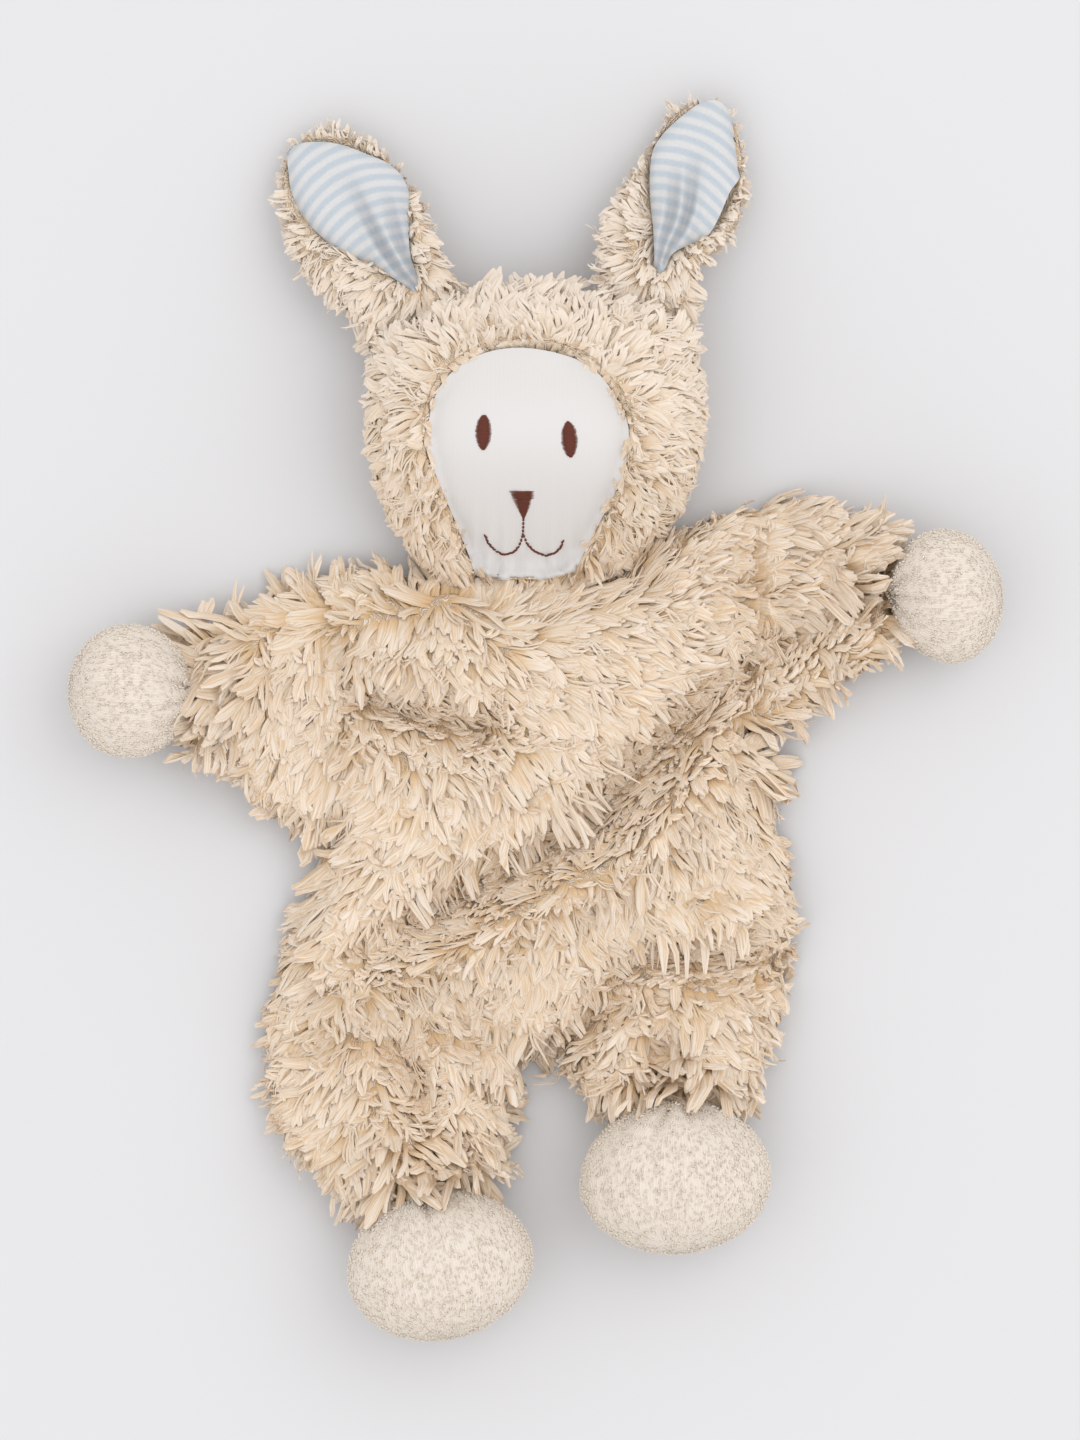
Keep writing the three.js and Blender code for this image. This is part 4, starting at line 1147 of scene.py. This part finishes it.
class BUNNY_OT_face(bpy.types.Operator):
    """Makes the jersey face and the eyes, nose and mouth stitched on it"""
    bl_idname = "bunny.face"
    bl_label = "Face"

    def execute(self, context):
        settings = context.scene.bunny_face
        low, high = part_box("face_panel")
        face = self.panel(low, jersey(settings.jersey))
        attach(face, "head")
        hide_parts("face_panel")

        laid_on, tree, thread = surface_of(face), stitch_tree(), unit_stitch()
        finish = embroidery_thread(settings.thread)
        chance = np.random.default_rng(5)
        pitch = settings.thread_width * PITCH_SHARE
        work = {eye: self.eye(*shape, pitch, chance) for eye, shape in zip(("eye_left", "eye_right"), EYES)}
        work["nose"] = self.nose(pitch, chance)
        work["mouth"] = [stitch for line in MOUTH for stitch in along_line(spots(line), MOUTH_PITCH)]
        for name, stitches in work.items():
            thick = settings.thread_width * (1.35 if name == "mouth" else 1.0)
            piece = stitched(f"stitched_{name}", stitches, laid_on, tree, thread, thick, finish)
            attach(piece, "head")
            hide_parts(name)
        return {"FINISHED"}

    @staticmethod
    def panel(low, finish):
        """The face panel, laid over the stuffed head and gathered at the chin."""
        seam = closed_curve(spots(FACE_SEAM), SEAM_POINTS)
        middle = seam.mean(axis=0)
        surface = surface_of(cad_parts["face_panel"])
        flat, faces = leaf_grid(middle + (seam - middle) * FACE_OVERLAP, middle, FACE_RINGS)
        points = []
        for x, y in flat:
            z = height_on(surface, x, y, None)
            # Past the panel's edge the height falls off from the nearest place on it.
            pull = 1.0
            while z is None and pull > 0.8:
                pull -= 0.01
                near = middle + (np.array((x, y)) - middle) * pull
                z = height_on(surface, near[0], near[1], None)
                z = None if z is None else z - (1 - pull) * 30 * MM
            points.append((x, y, low.z if z is None else z))
        points = np.array(points)
        # The stuffing rounds the panel, so its height is one smooth swell across and along it.
        points[:, 2] = smooth_heights((points[:, :2] - middle) / (40 * MM), points[:, 2], np.ones(len(points), bool))
        # It lies on the stuffed head, also where the chin runs down into the neck.
        stuffed = surface_of(bpy.data.objects["head_cloth"])
        points[:, 2] = [max(z, height_on(stuffed, x, y, 0.0) + FACE_GAP) for x, y, z in points]
        # The chin is gathered into the neck seam in soft upright folds.
        chin = np.exp(-np.maximum(points[:, 1] - low.y, 0) / CHIN_REACH)
        wide, narrow = (points[:, 0] / wave * math.tau for wave in CHIN_WAVES)
        folds = np.cos(wide + 1.3) + 0.4 * np.cos(narrow)
        points[:, 2] += CHIN_HEIGHT * chin * (1.2 + folds)
        face = mesh_object("face", points, faces)
        smooth = face.modifiers.new("Smooth", "SMOOTH")
        smooth.iterations = 2
        plain_mesh(face)
        face.data.materials.append(finish)
        smooth_shade(face)
        return face

    @staticmethod
    def eye(place, wide, long, lean, pitch, chance):
        """Level stitches one below the other, that fill a leaning oval."""
        centre, lean = np.array(spot(*place)), math.radians(lean)
        half_width, half_length = wide / 2 / PIXELS_PER_MM * MM, long / 2 / PIXELS_PER_MM * MM
        down, across = np.array((math.sin(lean), math.cos(lean))), np.array((math.cos(lean), -math.sin(lean)))
        stitches = []
        for t in np.arange(-half_length + pitch / 2, half_length, pitch):
            span = 2 * half_width * math.sqrt(max(0.03, 1 - (t / half_length) ** 2)) * chance.uniform(0.98, 1.1)
            tilt = across + down * 0.07
            stitches.append((centre + down * t + across * chance.uniform(-0.06, 0.06) * MM, tilt * span))
        return stitches

    @staticmethod
    def nose(pitch, chance):
        """Stitches from side to side, that get shorter towards the lower corner."""
        left, right, low = np.array(spots(NOSE))
        count = round(np.linalg.norm(low - (left + right) / 2) / pitch)
        stitches = []
        for share in (np.arange(count) + 0.5) / count:
            a, b = left + (low - left) * share, right + (low - right) * share
            stitches.append(((a + b) / 2, (b - a) * chance.uniform(1.0, 1.08) + np.array((0.25 * MM, 0))))
        return stitches


class BUNNY_OT_ears(bpy.types.Operator):
    """Makes the ears: pile behind and round the edge, and a pleated striped lining in front"""
    bl_idname = "bunny.ears"
    bl_label = "Ears"

    def execute(self, context):
        settings = context.scene.bunny_ears
        spacing = context.scene.bunny_pile.spacing * EAR_SPACING
        striped = striped_jersey(settings.blue, settings.white, settings.stripe)
        for seed, (name, (root, way, outer, edge, pleats)) in enumerate(EARS.items()):
            root, way = np.array(root) * MM, np.array(way)
            across = np.array((way[1], -way[0]))

            def placed(leaf):
                leaf = np.array(leaf, float) * EAR_UNIT
                return root + leaf[:, :1] * across + leaf[:, 1:] * way

            def in_leaf(pixels):
                offset = (np.array(spots(pixels)) - root) / EAR_UNIT
                return np.column_stack([offset @ across, offset @ way])

            outline = closed_curve(in_leaf(edge), LINING_POINTS)
            leaf, faces = leaf_grid(outline, EAR_MIDDLE, LINING_RINGS)
            flat = placed(leaf)
            heights, crease = self.pleated(f"{name}_lining", leaf, flat, len(outline), [in_leaf(p) for p in pleats])
            lining = mesh_object(f"{name}_lining_cloth", np.column_stack([flat, heights]), faces)
            set_values(lining.data, "crease", crease)
            bow = leaf[:, 1] + 0.02 * leaf[:, 0] ** 2
            cut = np.column_stack([leaf[:, 0], bow, np.zeros(len(leaf))]) * MM
            set_values(lining.data, "leaf", cut, "FLOAT_VECTOR")
            lining.data.materials.append(striped)
            smooth_shade(lining)
            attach(lining, name)
            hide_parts(f"{name}_lining")

            cloth = shell(f"{name}_cloth", [f"{name}_back"], bpy.data.materials["knitted_cotton_ground"],
                          voxel=1.4, passes=3, inset=2.4)
            points = coordinates(cloth.data)
            up = (points[:, :2] - root) @ way / EAR_UNIT / EAR_LENGTH
            aside = (points[:, :2] - root) @ across * np.sign(outer)
            spread = (abs(outer) - 1) * np.clip(aside, 0, None) * np.clip(up / EAR_ROOT, 0, 1) * np.sign(outer)
            points[:, :2] += spread[:, None] * across + (EAR_STRETCH * np.clip(up - EAR_ROOT, 0, 1))[:, None] * way
            # The lining is sewn over it, so the pile cloth lies deeper there.
            points[:, 2] -= UNDER_LINING * (inside(points, placed(outline)) & (normals(cloth.data)[:, 2] > 0))
            set_points(cloth.data, points)
            # In front the pile is short, and shortest at the tip.
            length = 0.34 + 0.34 * np.clip(1 - up, 0, 1)
            length = np.where(normals(cloth.data)[:, 2] < EAR_UNDERSIDE, 0.8, length)
            lay_pile(cloth.data, combed(points, EAR_COMB), lift=0.05, length=length, curl=0.1)
            # The pile hangs over the lining's edge at the root of the ear, and leaves it clear at the tip.
            kept = 0.86 + 0.16 * np.clip((outline[:, 1:] - 22) / 12, 0, 1)
            bare = placed(outline * kept + EAR_MIDDLE * (1 - kept))
            fur = plant(f"{name}_pile", cloth, bpy.data.node_groups["Planted pile"],
                        bpy.data.materials["combed_cotton_pile"], spacing, SEEDS["ears"] + seed,
                        lambda c, n: ~(inside(c, bare) & (n[:, 2] > 0)))
            for piece in (fur, cloth):
                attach(piece, name)
            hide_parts(f"{name}_back")
        return {"FINISHED"}

    def pleated(self, node, leaf, flat, count, pleats):
        """Height of the lining at each point, and how deep in a crease it lies."""
        surface = surface_of(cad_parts[node])
        heights = np.array([height_on(surface, x, y, -1.0) for x, y in flat])
        heights = smooth_heights((leaf - EAR_MIDDLE) / 30, heights, heights > 0)
        # Its edge is turned down and sewn to the pile cloth.
        rings = (np.arange(len(leaf)) - 1) // count + 1
        heights -= RIM * (rings / rings.max()) ** 9
        # Towards the tip it lies fully over the pile cloth.
        heights += TIP_RISE * np.clip((leaf[:, 1] - 18) / 15, 0, 1)
        crease = np.zeros(len(leaf))
        for pleat in pleats:
            depth, side, up = self.beside(leaf, pleat)
            groove = np.exp(-(side / (PLEAT_WIDTH + PLEAT_WIDENS * up)) ** 2)
            banks = [height * np.exp(-((side - place) / width) ** 2) for height, place, width in PLEAT_BANKS]
            heights += depth * MM * sum(banks, -PLEAT_DEPTH * groove)
            crease = np.maximum(crease, depth * groove)
        return heights, crease

    @staticmethod
    def beside(leaf, pleat):
        """For each point: how deep the pleat is there, how far to its side it lies and how far up the pleat."""
        best = np.full(len(leaf), 1e9)
        side, up = np.zeros(len(leaf)), np.zeros(len(leaf))
        total = sum(math.dist(a, b) for a, b in zip(pleat, pleat[1:]))
        gone = 0.0
        for a, b in zip(np.array(pleat, float), np.array(pleat[1:], float)):
            along = b - a
            length = np.linalg.norm(along)
            share = np.clip((leaf - a) @ along / length ** 2, 0, 1)
            offset = leaf - a - share[:, None] * along
            far = np.linalg.norm(offset, axis=1)
            closer = far < best
            best = np.where(closer, far, best)
            sign = np.sign(offset[:, 0] * along[1] - offset[:, 1] * along[0])
            side = np.where(closer, far * sign, side)
            up = np.where(closer, (gone + share * length) / total, up)
            gone += length
        return (1 - up ** 3) * np.exp(-np.maximum(best - 6, 0)), side, up


class BUNNY_OT_balls(bpy.types.Operator):
    """Makes the stuffed terry hands and feet, gathered at their necks"""
    bl_idname = "bunny.balls"
    bl_label = "Hands and feet"

    def execute(self, context):
        settings = context.scene.bunny_terry
        finish = terry(settings.colour)
        loops = loop_collection(span=0.66 * MM, height=0.34 * MM, thread=0.5 * MM)
        tree = pile_tree("Terry loops", loops, len(LOOPS), len(LOOPS) + 1)
        for seed, (name, (neck, way, (wide, tall), (longer, wider, aside))) in enumerate(BALLS.items()):
            nodes = [name, f"{name}_filling", f"{name}_gathering_thread"]
            ball = shell(f"{name}_terry", nodes, finish, voxel=1.9, passes=6, inset=1.0)
            points = coordinates(ball.data)
            neck, way = np.array(neck) * MM, np.array(way)
            left = np.array((-way[1], way[0]))
            along, across = (points[:, :2] - neck) @ way, (points[:, :2] - neck) @ left
            share = np.clip(along / BALL_REACH, 0, 1)
            across += (wider - 1) * share * across + aside * share * MM
            points[:, :2] = neck + np.outer(along * (1 + (longer - 1) * share), way) + np.outer(across, left)
            set_points(ball.data, points)
            swell(ball, along < PINNED)
            finer = ball.modifiers.new("Finer", "SUBSURF")
            finer.levels = finer.render_levels = 1
            plain_mesh(ball)
            points = coordinates(ball.data)
            along, across = (points[:, :2] - neck) @ way, (points[:, :2] - neck) @ left
            middle = (points[:, 2].max() + points[:, 2].min()) / 2
            angle = np.arctan2((points[:, 2] - middle) / tall, across / wide)
            # The neck is drawn up by its thread, so the terry stands in folds that die out over the ball.
            depth = np.exp(-np.maximum(along - GATHER_START, 0) / GATHER_REACH)
            waves = 0.6 - np.abs(np.cos(5 * angle + seed)) ** 6 - 0.7 * np.abs(np.cos(3.5 * angle + 2 * seed)) ** 8
            set_points(ball.data, points + normals(ball.data) * (GATHER_HEIGHT * depth * waves)[:, None])
            around = math.pi * (wide + tall) / 2 / WALE
            none = np.zeros(len(points))
            wales = np.column_stack([angle / math.tau * around, along / (WALE * MM), none])
            set_values(ball.data, "wales", wales, "FLOAT_VECTOR")
            normal = normals(ball.data)
            ahead = np.column_stack([np.tile(way, (len(points), 1)), none])
            ahead -= (ahead * normal).sum(axis=1)[:, None] * normal
            set_values(ball.data, "comb", ahead / (np.linalg.norm(ahead, axis=1)[:, None] + 1e-9), "FLOAT_VECTOR")
            set_values(ball.data, "pile_length", np.ones(len(points)))
            set_values(ball.data, "curl", none)
            nap = plant(f"{name}_loops", ball, tree, finish, settings.loop_spacing, SEEDS["balls"] + seed,
                        scatter=0.8)
            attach(nap, name)
            smooth_shade(ball)
            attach(ball, name)
            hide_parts(*nodes)
        return {"FINISHED"}


OPERATORS = [BUNNY_OT_stage, BUNNY_OT_body, BUNNY_OT_head, BUNNY_OT_face, BUNNY_OT_ears, BUNNY_OT_balls]
SETTINGS = {
    "bunny_pile": PileSettings, "bunny_face": FaceSettings, "bunny_ears": EarSettings, "bunny_terry": TerrySettings,
    "bunny_stage": StageSettings,
}


class BUNNY_PT_panel(bpy.types.Panel):
    """Lists the settings and the pieces of the bunny"""
    bl_idname = "BUNNY_PT_panel"
    bl_label = "Plush Bunny"
    bl_space_type = "VIEW_3D"
    bl_region_type = "UI"
    bl_category = "Bunny"

    def draw(self, context):
        for group in SETTINGS:
            settings = getattr(context.scene, group)
            for name in settings.__annotations__:
                self.layout.prop(settings, name)
        for operator in OPERATORS:
            self.layout.operator(operator.bl_idname)


def register():
    for cls in [*SETTINGS.values(), *OPERATORS, BUNNY_PT_panel]:
        bpy.utils.register_class(cls)
    for group, settings in SETTINGS.items():
        setattr(bpy.types.Scene, group, bpy.props.PointerProperty(type=settings))


def unregister():
    for group in SETTINGS:
        delattr(bpy.types.Scene, group)
    for cls in reversed([*SETTINGS.values(), *OPERATORS, BUNNY_PT_panel]):
        bpy.utils.unregister_class(cls)


def main():
    register()
    bpy.ops.bunny.stage()
    bpy.ops.bunny.body()
    bpy.ops.bunny.head()
    bpy.ops.bunny.face()
    bpy.ops.bunny.ears()
    bpy.ops.bunny.balls()


if __name__ == "__main__":
    main()
